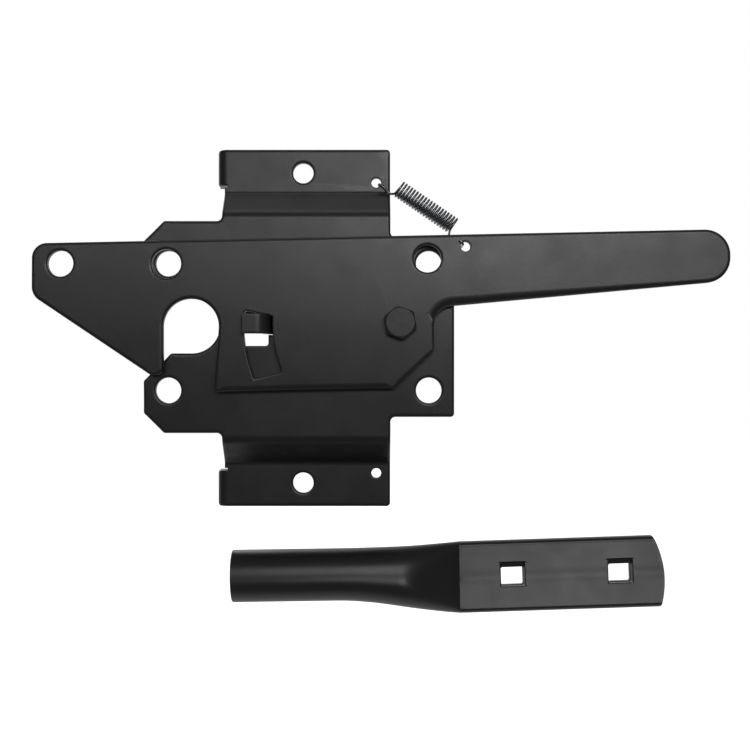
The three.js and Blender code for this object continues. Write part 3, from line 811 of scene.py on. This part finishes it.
def bend_plate(bm, thickness):
    """Joggles the ears back to the post and folds their flanges."""
    tight, wide = JOGGLE_INNER, JOGGLE_INNER + thickness
    front_corner = JOGGLE_TOP + PLATE_BACK
    back_corner = front_corner - thickness * math.tan(math.pi / 8)
    bends = [place for low, high in JOGGLE_BENDS for place in spread(low, high, 12)]
    cut_across(bm, 2, [side * place for place in bends for side in (1, -1)])
    flange = spread(-SUPPORT, FLANGE_ARC + SUPPORT, 12)
    cut_across(bm, 0, [FLANGE_ROOT - run for run in flange],
               lambda face: abs(face.calc_center_median().z) > JOGGLE_TOP)
    for vert in bm.verts:
        height = abs(vert.co.z)
        front = joggle(height, front_corner, PLATE_FRONT, -thickness, wide, tight)
        back = joggle(height, back_corner, PLATE_BACK, 0, tight, wide)
        vert.co.y = front + (back - front) * vert.co.y / thickness
        run = FLANGE_ROOT - vert.co.x
        if run > 0 and height > FLANGE_BOTTOM - 0.01:
            reach = FLANGE_INNER - vert.co.y
            turn = min(run / FLANGE_ARC, 1) * math.pi / 2
            vert.co.x = FLANGE_ROOT - reach * math.sin(turn)
            vert.co.y = FLANGE_INNER - reach * math.cos(turn) + max(0, run - FLANGE_ARC)


def tab_mesh(thickness):
    """The keeper tab: a straight strip, bent forward out of the plate and then over the lever."""
    foot_x, foot_y, foot_radius = TAB_FOOT
    hook_x, hook_y, hook_radius = TAB_HOOK
    foot_arc = math.pi / 2 * (foot_radius + thickness / 2)
    hook_arc = math.pi / 2 * (hook_radius - thickness / 2)
    stretches = [TAB_ROOT - foot_x, foot_arc, foot_y - hook_y, hook_arc, hook_x - TAB_TIP]
    ends = [sum(stretches[:k]) for k in range(6)]
    low, high = PIVOT.z + TAB_BOTTOM, PIVOT.z + TAB_TOP
    corners = [(-ends[5], low, TAB_CORNER), (0, low, 0), (0, high, 0), (-ends[5], high, TAB_CORNER)]
    bm = bmesh.new()
    add_sheet(bm, [(trace(corners), lambda x, z: TAB_ROLL)], thickness)
    places = [*spread(ends[1] - 0.2, ends[2] + 0.2, 14), *spread(ends[3] - 0.2, ends[4] + 0.2, 20)]
    cut_across(bm, 0, [-place for place in places])
    for vert in bm.verts:
        run, depth = -vert.co.x, vert.co.y
        if run < ends[1]:
            x, y = TAB_ROOT - run, PLATE_FRONT + TAB_SUNK + depth * (1 - 2 * TAB_SUNK / thickness)
        elif run < ends[2]:
            turn = (run - ends[1]) / (foot_radius + thickness / 2)
            x = foot_x - (foot_radius + depth) * math.sin(turn)
            y = foot_y + (foot_radius + depth) * math.cos(turn)
        elif run < ends[3]:
            x, y = foot_x - foot_radius - depth, foot_y - (run - ends[2])
        elif run < ends[4]:
            turn = (run - ends[3]) / (hook_radius - thickness / 2)
            x = hook_x + (hook_radius - depth) * math.cos(turn)
            y = hook_y - (hook_radius - depth) * math.sin(turn)
        else:
            x, y = hook_x - (run - ends[4]), hook_y - hook_radius + depth
        vert.co.x, vert.co.y = x, y
    return bm


class LATCH_OT_back_plate(bpy.types.Operator):
    """Builds the bent back plate, with its ears, flanges, holes, window and keeper tab."""
    bl_idname = "latch.back_plate"
    bl_label = "Back Plate"

    def execute(self, context):
        sheet = context.scene.latch_sheet
        thickness = sheet.thickness / MM
        edge, hole = sheet.edge_roll / MM, sheet.hole_roll / MM
        bm = bmesh.new()
        outlines = [(trace(plate_corners()), lambda x, z: edge),
                    (trace(window_corners()), lambda x, z: WINDOW_ROLL),
                    (round_hole(PIVOT.x, PIVOT.z, PIVOT_HOLE), lambda x, z: BORE_ROLL)]
        outlines += [(round_hole(x, z, FASTENER_RADIUS), lambda x, z: hole) for x, z in FASTENERS]
        for side in (1, -1):
            ear_x, ear_z, ear_radius = EAR_HOLE
            outlines.append((round_hole(ear_x, side * ear_z, ear_radius), lambda x, z: hole))
            spot = (EAR_SPRING_HOLE.x, side * EAR_SPRING_HOLE.z, SPRING_HOLE_RADIUS)
            outlines.append((round_hole(*spot), lambda x, z: SPRING_ROLLS[0] * hole))
        add_sheet(bm, outlines, thickness)
        bend_plate(bm, thickness)
        bm = joined(bm, tab_mesh(thickness))
        bow(bm, sheet.plate_bow / MM, 0, LOBE_LEFT_TOP)
        finished("back_plate_pressing", bm, finish_of(context, "coat"), "plate", ["back_plate"],
                 "black_coat")
        return {"FINISHED"}


# ------------------------------------------------------------------ latch lever
def lever_corners():
    """The lever's outline: beak, hook, mouth, heel, toe and handle."""
    def top(x):
        return LEVER_TOP_LEFT + (x - LEVER_LOW.x) * LEVER_TOP_SLOPE

    tip_left, hook_inside, tip_bottom = HOOK_TIP
    mouth_right, mouth_top, mouth_radius = MOUTH
    shoulder_x, shoulder_z, handle_root = SHOULDER
    handle_end = handle_root + (LEVER_HIGH.x - shoulder_x) * HANDLE_SLOPE
    return [
        (LEVER_LOW.x, top(LEVER_LOW.x), BEAK_RADII[0]), (LEVER_LOW.x, BEAK_BOTTOM, BEAK_RADII[1]),
        (tip_left, tip_bottom, HOOK_RADII[0]), (hook_inside, tip_bottom, HOOK_RADII[1]),
        (hook_inside, mouth_top, mouth_radius), (mouth_right, mouth_top, mouth_radius),
        (*HEEL, CORNER), (*TOE, CORNER),
        (shoulder_x, shoulder_z, CORNER), (shoulder_x, handle_root, ROOT_RADIUS),
        (LEVER_HIGH.x, handle_end, HANDLE_END_RADIUS),
        (LEVER_HIGH.x, top(LEVER_HIGH.x), HANDLE_END_RADIUS),
    ]


def slot_outline():
    """The slot that the keeper tab stands in, curved round the pivot."""
    inner, outer = SLOT_RADII
    first, last = (math.radians(angle) for angle in SLOT_ANGLES)
    points = []

    def round_pivot(radius, angle):
        return Vector((PIVOT.x + radius * math.cos(angle), PIVOT.z + radius * math.sin(angle)))

    def arc(radius, start, end, steps):
        for k in range(steps + 1):
            points.append(round_pivot(radius, start + (end - start) * k / steps))

    def bend(radius, angle, quadrant):
        centre = round_pivot(radius, angle)
        for k in range(1, 8):
            turn = angle + quadrant - math.pi / 2 * k / 8
            points.append(centre + Vector((math.cos(turn), math.sin(turn))) * SLOT_CORNER)

    inner_turn = SLOT_CORNER / (inner + SLOT_CORNER)
    outer_turn = SLOT_CORNER / (outer - SLOT_CORNER)
    arc(inner, first + inner_turn, last - inner_turn, 24)
    bend(inner + SLOT_CORNER, last - inner_turn, math.pi)
    arc(outer, last - outer_turn, first + outer_turn, 24)
    bend(outer - SLOT_CORNER, first + outer_turn, 0)
    return [(point, math.inf) for point in points]


class LATCH_OT_lever(bpy.types.Operator):
    """Builds the latch lever, a flat stamping with a rolled front edge."""
    bl_idname = "latch.lever"
    bl_label = "Latch Lever"

    def execute(self, context):
        sheet = context.scene.latch_sheet
        thickness = sheet.thickness / MM
        edge, hole = sheet.edge_roll / MM, sheet.hole_roll / MM
        handle = sheet.handle_roll / MM

        def edge_width(x, z):
            """Wider under the handle's root, and narrower again towards its end."""
            if z > HEEL[1] + 2 and (x < SHOULDER[0] + 0.5 or z > LEVER_TOP_LEFT - 4):
                return edge
            if x < SHOULDER[0]:
                return edge + 0.4 * (handle - edge)
            share = (x - SHOULDER[0]) / (LEVER_HIGH.x - SHOULDER[0])
            return handle + (edge - handle) * min(1, share)

        bm = bmesh.new()
        outlines = [(trace(lever_corners()), edge_width), (slot_outline(), lambda x, z: SLOT_ROLL),
                    (round_hole(PIVOT.x, PIVOT.z, BUSH_HOLE), lambda x, z: BORE_ROLL)]
        outlines += [(round_hole(*place), lambda x, z: hole) for place in LEVER_HOLES]
        outlines.append((round_hole(*LEVER_SPRING_HOLE), lambda x, z: SPRING_ROLLS[1] * hole))
        add_sheet(bm, outlines, thickness)
        bmesh.ops.translate(bm, verts=bm.verts, vec=(0, LEVER_LOW.y, 0))
        bow(bm, sheet.lever_bow / MM, *LEVER_BOW)
        finished("lever_stamping", bm, finish_of(context, "coat"), "lever", ["latch_lever"],
                 "black_coat")
        return {"FINISHED"}


# ------------------------------------------------------------------ pivot hardware
HEX_TURN = math.radians(40)
HEX_ROUND = 0.35                    # how much of a hexagon's corners is eased
BOLT_HEAD = 4
BOLT_RADIUS = 3
SHANK_BACK = -9                     # where the plain shank ends
THREAD_FRONT = -8.6
NUT_HEX = 3.4                       # length of the nut's hexagon, below its collar
CHAMFER_LAND = 0.955                # width of a chamfered end face, over the flats
CHAMFER_SLOPE = math.tan(math.radians(28))
THREAD_DEPTH = 0.54                 # over the pitch


def hexagon(across_flats, corner_round):
    """Radius of a hexagon with eased corners, as a function of the angle."""
    flat = across_flats / 2
    corner = flat / math.cos(math.pi / 6)

    def radius(angle):
        off = (angle - HEX_TURN) % (math.pi / 3) - math.pi / 6
        sharp = flat / math.cos(off)
        near = max(0.0, 1 - (corner - sharp) / corner_round)
        return sharp - near * near * corner_round * 0.35

    return radius


def chamfered_hexagon(across_flats, end, inner):
    """Profile of a hexagon from its chamfered end face at y = end to y = inner."""
    side = math.copysign(1, inner - end)
    outline = hexagon(across_flats, HEX_ROUND)
    land = across_flats / 2 * CHAMFER_LAND

    def scaled(shrink):
        return lambda angle: outline(angle) - shrink

    def fall(shrink):
        return lambda angle: end + side * (
            max(0.0, outline(angle) - shrink - land) * CHAMFER_SLOPE + 0.05)

    return [
        (land - 0.5, end), (land - 0.22, end),
        (land - 0.08, end + side * 0.015), (land, end + side * 0.05),
        (scaled(0.12), fall(0.12)), (scaled(0.03), lambda angle: fall(0.03)(angle) + side * 0.02),
        (scaled(0), lambda angle: fall(0)(angle) + side * 0.12),
        (scaled(0), inner - side * 0.2), (scaled(0.05), inner - side * 0.05), (scaled(0.2), inner),
    ]


def threaded(radius, start, end, pitch):
    """Rings of a screw thread along y, its crests at radius."""
    depth = THREAD_DEPTH * pitch
    rings = []
    for y in spread(start, end, max(2, round(abs(end - start) / pitch * 10))):
        fade = min(1, abs(end - y) / pitch)

        def crest(angle, y=y, fade=fade):
            phase = (y / pitch - angle / (2 * math.pi)) % 1
            return radius - depth * min(1, 2.4 * abs(phase - 0.5)) * 0.8 - (1 - fade) * 0.35
        rings.append((crest, y))
    return rings


class LATCH_OT_pivot_bolt(bpy.types.Operator):
    """Builds the pivot bolt, with a chamfered hexagon head and a threaded end."""
    bl_idname = "latch.pivot_bolt"
    bl_label = "Pivot Bolt"

    def execute(self, context):
        hardware = context.scene.latch_hardware
        head_back, radius = BOLT_LOW.y + BOLT_HEAD, BOLT_RADIUS
        bm = bmesh.new()
        profile = chamfered_hexagon(hardware.across_flats / MM, BOLT_LOW.y, head_back)
        profile += [(radius + 0.3, head_back), (radius, head_back + 0.3), (radius, SHANK_BACK)]
        profile += threaded(radius, THREAD_FRONT, BOLT_HIGH.y - 0.1, hardware.pitch / MM)
        profile += [(radius - 0.9, BOLT_HIGH.y), (radius - 1.4, BOLT_HIGH.y)]
        rings = turned_rings(bm, profile, (PIVOT.x, PIVOT.z), 120)
        bridge(bm, rings)
        bm.faces.new(rings[0])
        bm.faces.new(rings[-1])
        finished("pivot_bolt_forging", bm, finish_of(context, "blackened"), "plate", ["pivot_bolt"],
                 "black_steel")
        return {"FINISHED"}


class LATCH_OT_pivot_rings(bpy.types.Operator):
    """Builds the bush, the spacer washer, the rear washer and the nut's nylon insert."""
    bl_idname = "latch.pivot_rings"
    bl_label = "Bush, Washers and Insert"

    def execute(self, context):
        # Node, name, inner radius, eased edge, finish and slot.
        rings = [("pivot_bush", "bush_sleeve", 3.15, 0.2, "zinc", "zinc_steel"),
                 ("spacer_washer", "spacer_ring", 4.2, 0.15, "zinc", "zinc_steel"),
                 ("rear_washer", "rear_washer_ring", 3.2, 0.2, "blackened", "black_steel"),
                 ("nut_insert", "nylon_insert_ring", 3.08, 0.2, "nylon", "nylon")]
        for node, name, inner, ease, finish, slot in rings:
            low, high = box_mm(node)
            bm = bmesh.new()
            add_washer(bm, inner, (high.x - low.x) / 2, low.y, high.y, ease)
            finished(name, bm, finish_of(context, finish), "plate", [node], slot)
        return {"FINISHED"}


class LATCH_OT_lock_nut(bpy.types.Operator):
    """Builds the lock nut: a chamfered hexagon with a rolled collar over the nylon insert."""
    bl_idname = "latch.lock_nut"
    bl_label = "Lock Nut"

    def execute(self, context):
        hardware = context.scene.latch_hardware
        front, back = NUT_LOW.y, NUT_HIGH.y
        hex_back = front + NUT_HEX
        flats = hardware.across_flats / MM
        outline = hexagon(flats, HEX_ROUND)
        # Up the hexagon, over the collar's rolled rim and back down inside.
        profile = [(3.5, front), *chamfered_hexagon(flats, front, hex_back)[:7]]
        profile += [(outline, hex_back - 0.6), (lambda a: outline(a) - 0.25, hex_back - 0.2),
                    (4.75, hex_back), (4.55, hex_back + 0.15), (4.5, hex_back + 0.4),
                    (4.5, back - 0.5), (4.4, back - 0.2), (4.15, back - 0.04), (3.9, back),
                    (3.65, back - 0.02), (3.5, back - 0.12), (3.5, back - 0.28), (4.0, back - 0.3),
                    (4.0, back - 1.8), (3.3, back - 1.82), (3.12, back - 2.0), (3.12, front + 0.4)]
        bm = bmesh.new()
        bridge(bm, turned_rings(bm, profile, (PIVOT.x, PIVOT.z), 120), closed=True)
        finished("lock_nut_body", bm, finish_of(context, "blackened"), "plate", ["lock_nut"],
                 "black_steel")
        return {"FINISHED"}


# ------------------------------------------------------------------ return spring
def spring_frame():
    """A function from (along, rise, y) to a point, and how far apart the spring holes are."""
    ear = Vector((EAR_SPRING_HOLE.x, 0, EAR_SPRING_HOLE.z))
    lever = Vector((LEVER_SPRING_HOLE[0], 0, LEVER_SPRING_HOLE[1]))
    u = (lever - ear).normalized()
    v = Vector((-u.z, 0, u.x))

    def at(along, rise, y):
        return ear + u * along + v * rise + Vector((0, y, 0))

    return at, (lever - ear).length


def spring_path(settings):
    """The wire's centre line: the ear's hook, the coil and the lever's hook."""
    at, span = spring_frame()
    coil, wire = settings.coil / MM / 2, settings.wire / MM / 2
    near = SPRING_HOLE_RADIUS - wire - RIM_GAP
    far = span - (LEVER_SPRING_HOLE[2] - wire - RIM_GAP)
    turns = []
    steps = round((settings.turns - 2 * COIL_LEAD) * POINTS_PER_TURN)
    for i in range(steps + 1):
        turn = COIL_LEAD + i / POINTS_PER_TURN
        share = turn / settings.turns
        angle = 2 * math.pi * turn
        along = COIL_START + (COIL_END - COIL_START) * share
        rise = COIL_RISE[0] + (COIL_RISE[1] - COIL_RISE[0]) * share
        depth = COIL_DEPTH[0] + (COIL_DEPTH[1] - COIL_DEPTH[0]) * share
        turns.append(at(along, rise - coil * math.cos(angle), depth + coil * math.sin(angle)))
    # Each hook starts or ends with its tip behind the ear or in front of the lever.
    ear_hook = [at(near + 1.6, 0, 0.8), at(near + 0.6, 0, 0.75), at(near, 0, 0.2), at(near, 0, -3),
                at(near + 0.5, 0.2, -3.75), at(near + 2.45, 0.2, -3.9), at(near + 4.85, -0.3, -4.2),
                turns[0], turns[1]]
    behind = COIL_DEPTH[1]
    lever_hook = [turns[-2], turns[-1], at(far - 5.8, 0.9, behind), at(far - 4.8, -0.5, behind),
                  at(far - 3.3, -0.9, behind), at(far - 1.2, -0.4, behind - 0.1),
                  at(far, 0, behind - 1.4), at(far, 0, LEVER_HIGH.y),
                  at(far, 0, LEVER_LOW.y), at(far - 0.5, 0.15, LEVER_LOW.y - 0.65),
                  at(far - 1.7, 0.35, LEVER_LOW.y - 0.75)]
    return smooth_path(ear_hook, 0.25)[:-2] + turns + smooth_path(lever_hook, 0.25)[5:]


class LATCH_OT_return_spring(bpy.types.Operator):
    """Builds the return spring as one wire from the ear's hole to the lever's."""
    bl_idname = "latch.return_spring"
    bl_label = "Return Spring"

    def execute(self, context):
        settings = context.scene.latch_spring
        at, _ = spring_frame()
        bm = bmesh.new()
        tube_along(bm, spring_path(settings), settings.wire / MM / 2, 12)
        piece = finished("return_spring", bm, finish_of(context, "wire"), None,
                         ["spring_ear_half", "spring_lever_half"], "spring_steel", 60)
        at(COIL_START, 0, 0) * MM
        at(COIL_END, 0, 0) * MM
        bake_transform(piece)
        return {"FINISHED"}


# ------------------------------------------------------------------ striker bar
def smooth(value, low, high):
    """0 below low, 1 above high, and an S curve between."""
    share = min(1, max(0, (value - low) / (high - low)))
    return share * share * (3 - 2 * share)


def bar_section(along, share, inset, half_gap):
    """(y, z) of a point a share of the way round the bar's skin, inset from its outside.

    The section is round in the tube, and flat with folded sides past the crease.
    """
    run = min(1, max(0, (along - WIDEN_FROM) / (CREASE - WIDEN_FROM)))
    widen = run * run * (1 + WIDEN_CURVE - WIDEN_CURVE * run)
    press = min(1, max(0, (along - PRESS_FROM) / (CREASE - PRESS_FROM))) ** PRESS_POWER
    thick = TUBE_RADIUS + (FLAT_HALF_THICK - TUBE_RADIUS) * press
    wide = TUBE_RADIUS + (FLAT_HALF_WIDTH - TUBE_RADIUS) * widen
    y_centre = -thick
    thick = max(half_gap, thick - inset)
    side = int(share * 4) % 4
    folded = FOLD_WIDTH[0 if side in (0, 3) else 1]
    fold = (wide + (folded - wide) * press) - inset * (1 - 0.6 * press)
    core = wide - inset - fold
    quarter = core + math.pi / 2 * fold
    part = share * 4 % 1 if side % 2 == 0 else 1 - share * 4 % 1
    reach = part * quarter
    if reach < math.pi / 2 * fold:
        turn = reach / fold
        z, y = core + fold * math.cos(turn), thick * math.sin(turn)
    else:
        z, y = core - (reach - math.pi / 2 * fold), thick
    centre = FLAT_DROP * widen + max(0, along - CREASE) * FLAT_SLOPE
    return y_centre + (y if side in (2, 3) else -y), centre + (z if side in (0, 3) else -z), centre


def bar_end(z):
    """Where along the bar its rounded end lies, at a height z across it."""
    centre = FLAT_DROP + (BAR_LENGTH - CREASE) * FLAT_SLOPE - END_DROP
    return BAR_LENGTH - END_RADIUS + math.sqrt(END_RADIUS ** 2 - (z - centre) ** 2)


def bar_skin(bm, inset, half_gap):
    """Rings of the outer or inner skin from one end of the bar to the other."""
    stations = [*spread(END_EASE, WIDEN_FROM, 8), *spread(WIDEN_FROM, CREASE - 0.8, 70)[1:],
                CREASE - 0.4, CREASE - 0.15, CREASE, CREASE + 0.2,
                *spread(CREASE + 0.6, BAR_LENGTH, 40)]
    rings = []
    for along in stations:
        ring = []
        for k in range(BAR_DETAIL):
            y, z, centre = bar_section(along, k / BAR_DETAIL, inset, half_gap)
            x = along
            if along > CREASE:
                x = CREASE + (bar_end(z) - CREASE) * (along - CREASE) / (BAR_LENGTH - CREASE)
            if y < -FLAT_HALF_THICK:
                off = (z - centre) / FLAT_HALF_WIDTH
                ridge = RIDGE[0] * math.exp(-((z - centre) / RIDGE[1]) ** 2)
                y -= (ridge + DISH * off * off) * smooth(along, CREASE - 1, CREASE + 2)
            ring.append(bm.verts.new((x, y, z)))
        rings.append(ring)
    return rings


def square_cutter(x):
    """A cutter for one square hole, its upper lip pressed in towards the rear layer."""
    half = SQUARE_SIDE / 2
    z = FLAT_DROP + (x - CREASE) * FLAT_SLOPE + SQUARE_RISE
    bm = bmesh.new()
    rings = []
    front = -2 * FLAT_HALF_THICK
    # From front to back: y, half width, bottom and top.
    layers = [(front - 1.5, half + 0.35, -half - 0.35, half + 0.3),
              (front - 0.05, half + 0.3, -half - 0.3, half + 0.25),
              (front + 0.15, half, -half, half),
              (front + 0.9, half - 0.15, -half, half - 0.3),
              (front + 1.4, half - 0.3, -half, half - LIP),
              (-0.3, half - 0.3, -half, half - LIP),
              (1.5, half, -half - 0.3, half - LIP + 0.3)]
    turn = Matrix.Rotation(SQUARE_TURN, 2)
    for y, wide, low, high in layers:
        ring = []
        for point in rounded_box(-wide, low, wide, high, SQUARE_CORNER):
            flat = turn @ point
            ring.append(bm.verts.new((x + flat.x, y, z + flat.y)))
        rings.append(ring)
    bridge(bm, rings)
    bm.faces.new(rings[0])
    bm.faces.new(rings[-1])
    return bm


def rounded_box(left, low, right, high, radius):
    """Points of a rectangle with rounded corners, seven to a corner."""
    points = []
    corners = [(left + radius, low + radius), (right - radius, low + radius),
               (right - radius, high - radius), (left + radius, high - radius)]
    for i, corner in enumerate(corners):
        for angle in spread(math.pi * (1 + i / 2), math.pi * (1.5 + i / 2), 7):
            points.append(Vector(corner) + Vector((math.cos(angle), math.sin(angle))) * radius)
    return points


class LATCH_OT_striker_bar(bpy.types.Operator):
    """Builds the striker bar: a round tube pressed flat at one end, with two square holes."""
    bl_idname = "latch.striker_bar"
    bl_label = "Striker Bar"

    def execute(self, context):
        bm = bmesh.new()
        outer = bar_skin(bm, 0, 0)
        inner = bar_skin(bm, BAR_WALL, SEAM)
        start_outer, start_inner = (
            [bm.verts.new((0, *bar_section(0, k / BAR_DETAIL, inset, 0)[:2]))
             for k in range(BAR_DETAIL)]
            for inset in (END_EASE, BAR_WALL - 0.2))
        bridge(bm, [start_inner, start_outer, *outer])
        bridge(bm, [start_inner, *inner])
        bridge(bm, [outer[-1], inner[-1]])
        for x in SQUARE_HOLES_X:
            bm = joined(bm, square_cutter(x), "DIFFERENCE")
        place = (Matrix.Translation((BAR_ORIGIN[0], 0, BAR_ORIGIN[1]))
                 @ Matrix.Rotation(-BAR_TILT, 4, "Y"))
        bmesh.ops.transform(bm, matrix=place, verts=bm.verts)
        finished("striker_pressed_tube", bm, finish_of(context, "coat"), "striker", ["striker_bar"],
                 "black_coat", 30)
        return {"FINISHED"}


# ------------------------------------------------------------------ stage
BAR_PIECES = ("striker_pressed_tube",)
LATCH_PIECES = ("back_plate_pressing", "lever_stamping", "pivot_bolt_forging", "bush_sleeve",
                "spacer_ring", "rear_washer_ring", "nylon_insert_ring", "lock_nut_body",
                "return_spring")

GLOW_DEPTH = (0.05, 0.6)            # where behind the latch the room turns from dim to white
GLOW_LEAN = -0.6                    # how much sooner it turns white low down
LATCH_MIDDLE, TUBE_MIDDLE, FLAT_MIDDLE = (0.02, 0, 0), (0.05, 0, -0.085), (0.09, 0, -0.085)
# Each soft light's setting, place, aim, size and the pieces that it lights, or None for all.
SOFTBOXES = (
    ("key", (0.28, -1.2, 0.31), LATCH_MIDDLE, (0.6, 0.26), LATCH_PIECES),
    ("fill", (-0.3, -1.2, 0.31), LATCH_MIDDLE, (0.6, 0.26), LATCH_PIECES),
    ("top", (0, -0.15, 0.8), LATCH_MIDDLE, (0.6, 0.5), LATCH_PIECES),
    ("bar_key", (0.14, -0.8, 0.28), TUBE_MIDDLE, (0.47, 0.5), BAR_PIECES),
    ("bar_fill", (0.2, -0.8, -0.24), FLAT_MIDDLE, (0.4, 0.28), BAR_PIECES),
    ("rear", (-0.5, 0.9, 0.6), LATCH_MIDDLE, (0.8, 0.8), None),
)


def add_softbox(name, place, target, size, radiance, pieces):
    """A soft light of a given radiance, flagged to light only the pieces, if there are any."""
    light = bpy.data.lights.new(name, "AREA")
    light.shape = "RECTANGLE"
    light.size, light.size_y = size
    light.energy = radiance * math.pi * size[0] * size[1]
    thing = bpy.data.objects.new(name, light)
    thing.location = place
    thing.rotation_euler = (Vector(target) - Vector(place)).to_track_quat("-Z", "Y").to_euler()
    thing.visible_camera = False
    bpy.context.scene.collection.objects.link(thing)
    if pieces:
        lit = bpy.data.collections.new(name + "_lights")
        for piece in pieces:
            lit.objects.link(piece)
        thing.light_linking.receiver_collection = lit


def studio_world(stage):
    """A white room to look at, which lends the metal white from behind and less in front."""
    world = bpy.data.worlds.new("studio")
    world.use_nodes = True
    tree = world.node_tree
    tree.nodes.clear()
    output, mix, seen, glow, path, place, parts, lean, depth = (
        tree.nodes.new("ShaderNode" + kind)
        for kind in ("OutputWorld", "MixShader", "Background", "Background", "LightPath",
                     "TexCoord", "SeparateXYZ", "Math", "MapRange"))
    seen.inputs["Color"].default_value = (1, 1, 1, 1)
    lean.operation = "MULTIPLY_ADD"
    lean.inputs[1].default_value = GLOW_LEAN
    depth.interpolation_type = "SMOOTHSTEP"
    limits = {"From Min": GLOW_DEPTH[0], "From Max": GLOW_DEPTH[1],
              "To Min": stage.ambient, "To Max": stage.backdrop}
    for key, number in limits.items():
        depth.inputs[key].default_value = number
    for source, target in ((place.outputs["Generated"], parts.inputs["Vector"]),
                           (parts.outputs["Z"], lean.inputs[0]),
                           (parts.outputs["Y"], lean.inputs[2]),
                           (lean.outputs[0], depth.inputs["Value"]),
                           (depth.outputs["Result"], glow.inputs["Strength"]),
                           (path.outputs["Is Camera Ray"], mix.inputs["Fac"]),
                           (glow.outputs["Background"], mix.inputs[1]),
                           (seen.outputs["Background"], mix.inputs[2]),
                           (mix.outputs["Shader"], output.inputs["Surface"])):
        tree.links.new(source, target)
    return world


class LATCH_OT_stage(bpy.types.Operator):
    """Sets the camera, the soft lights, the white room and the pale floor."""
    bl_idname = "latch.stage"
    bl_label = "Stage"

    def execute(self, context):
        stage = context.scene.latch_stage
        camera = bpy.data.objects.new("camera", bpy.data.cameras.new("camera"))
        camera.data.lens = stage.lens
        camera.location = stage.camera
        camera.rotation_euler = (math.pi / 2, 0, 0)
        context.scene.collection.objects.link(camera)
        context.scene.camera = camera
        context.scene.world = studio_world(stage)
        context.scene.view_settings.view_transform = "Standard"
        for name, place, target, size, names in SOFTBOXES:
            lit = [thing for thing in context.scene.objects if names and thing.name in names]
            add_softbox(name, place, target, size, getattr(stage, name), lit)
        self.add_floor(context, stage)
        return {"FINISHED"}

    def add_floor(self, context, stage):
        """A wide pale disc below the latch that neither mirrors in it nor tints it."""
        bm = bmesh.new()
        bmesh.ops.create_circle(bm, cap_ends=True, radius=3, segments=96)
        mesh = bpy.data.meshes.new("floor")
        bm.to_mesh(mesh)
        bm.free()
        floor = bpy.data.objects.new("floor", mesh)
        floor.location.z = stage.floor_height
        floor.visible_glossy = False
        floor.visible_diffuse = False
        nodes = Nodes("pale_floor")
        colour = tuple(stage.floor)
        cloud = nodes.noise(0.3, 2)
        nodes.set(Base_Color=nodes.mix(cloud, shaded(colour, 0.98), shaded(colour, 1.02)))
        nodes.set(Roughness=0.9, Emission_Color=(1, 1, 1, 1), Emission_Strength=0.95)
        mesh.materials.append(nodes.material)
        context.scene.collection.objects.link(floor)


# ------------------------------------------------------------------ panel and registration
class LATCH_PT_panel(bpy.types.Panel):
    """Buttons for the pieces, and their settings."""
    bl_idname = "LATCH_PT_panel"
    bl_label = "Gate Latch"
    bl_space_type = "VIEW_3D"
    bl_region_type = "UI"
    bl_category = "Gate Latch"

    def draw(self, context):
        for operator in OPERATORS:
            self.layout.operator(operator.bl_idname)
        for group in SETTINGS:
            box = self.layout.box()
            for name in SETTINGS[group].__annotations__:
                box.prop(getattr(context.scene, group), name)


OPERATORS = [LATCH_OT_back_plate, LATCH_OT_lever, LATCH_OT_pivot_bolt, LATCH_OT_pivot_rings,
             LATCH_OT_lock_nut, LATCH_OT_return_spring, LATCH_OT_striker_bar, LATCH_OT_stage]
SETTINGS = {"latch_sheet": LatchSheetSettings, "latch_hardware": LatchHardwareSettings,
            "latch_spring": LatchSpringSettings, "latch_finish": LatchFinishSettings,
            "latch_stage": LatchStageSettings}


def register():
    """Registers the classes and hangs the settings on the scene."""
    for kind in (*SETTINGS.values(), *OPERATORS, LATCH_PT_panel):
        bpy.utils.register_class(kind)
    for name, kind in SETTINGS.items():
        setattr(bpy.types.Scene, name, bpy.props.PointerProperty(type=kind))


def unregister():
    """Takes the settings and the classes away again."""
    for name in SETTINGS:
        delattr(bpy.types.Scene, name)
    for kind in reversed((*SETTINGS.values(), *OPERATORS, LATCH_PT_panel)):
        bpy.utils.unregister_class(kind)


def main():
    """Builds the latch and its stage."""
    register()
    for operator in OPERATORS:
        family, name = operator.bl_idname.split(".")
        getattr(getattr(bpy.ops, family), name)()


if __name__ == "__main__":
    main()
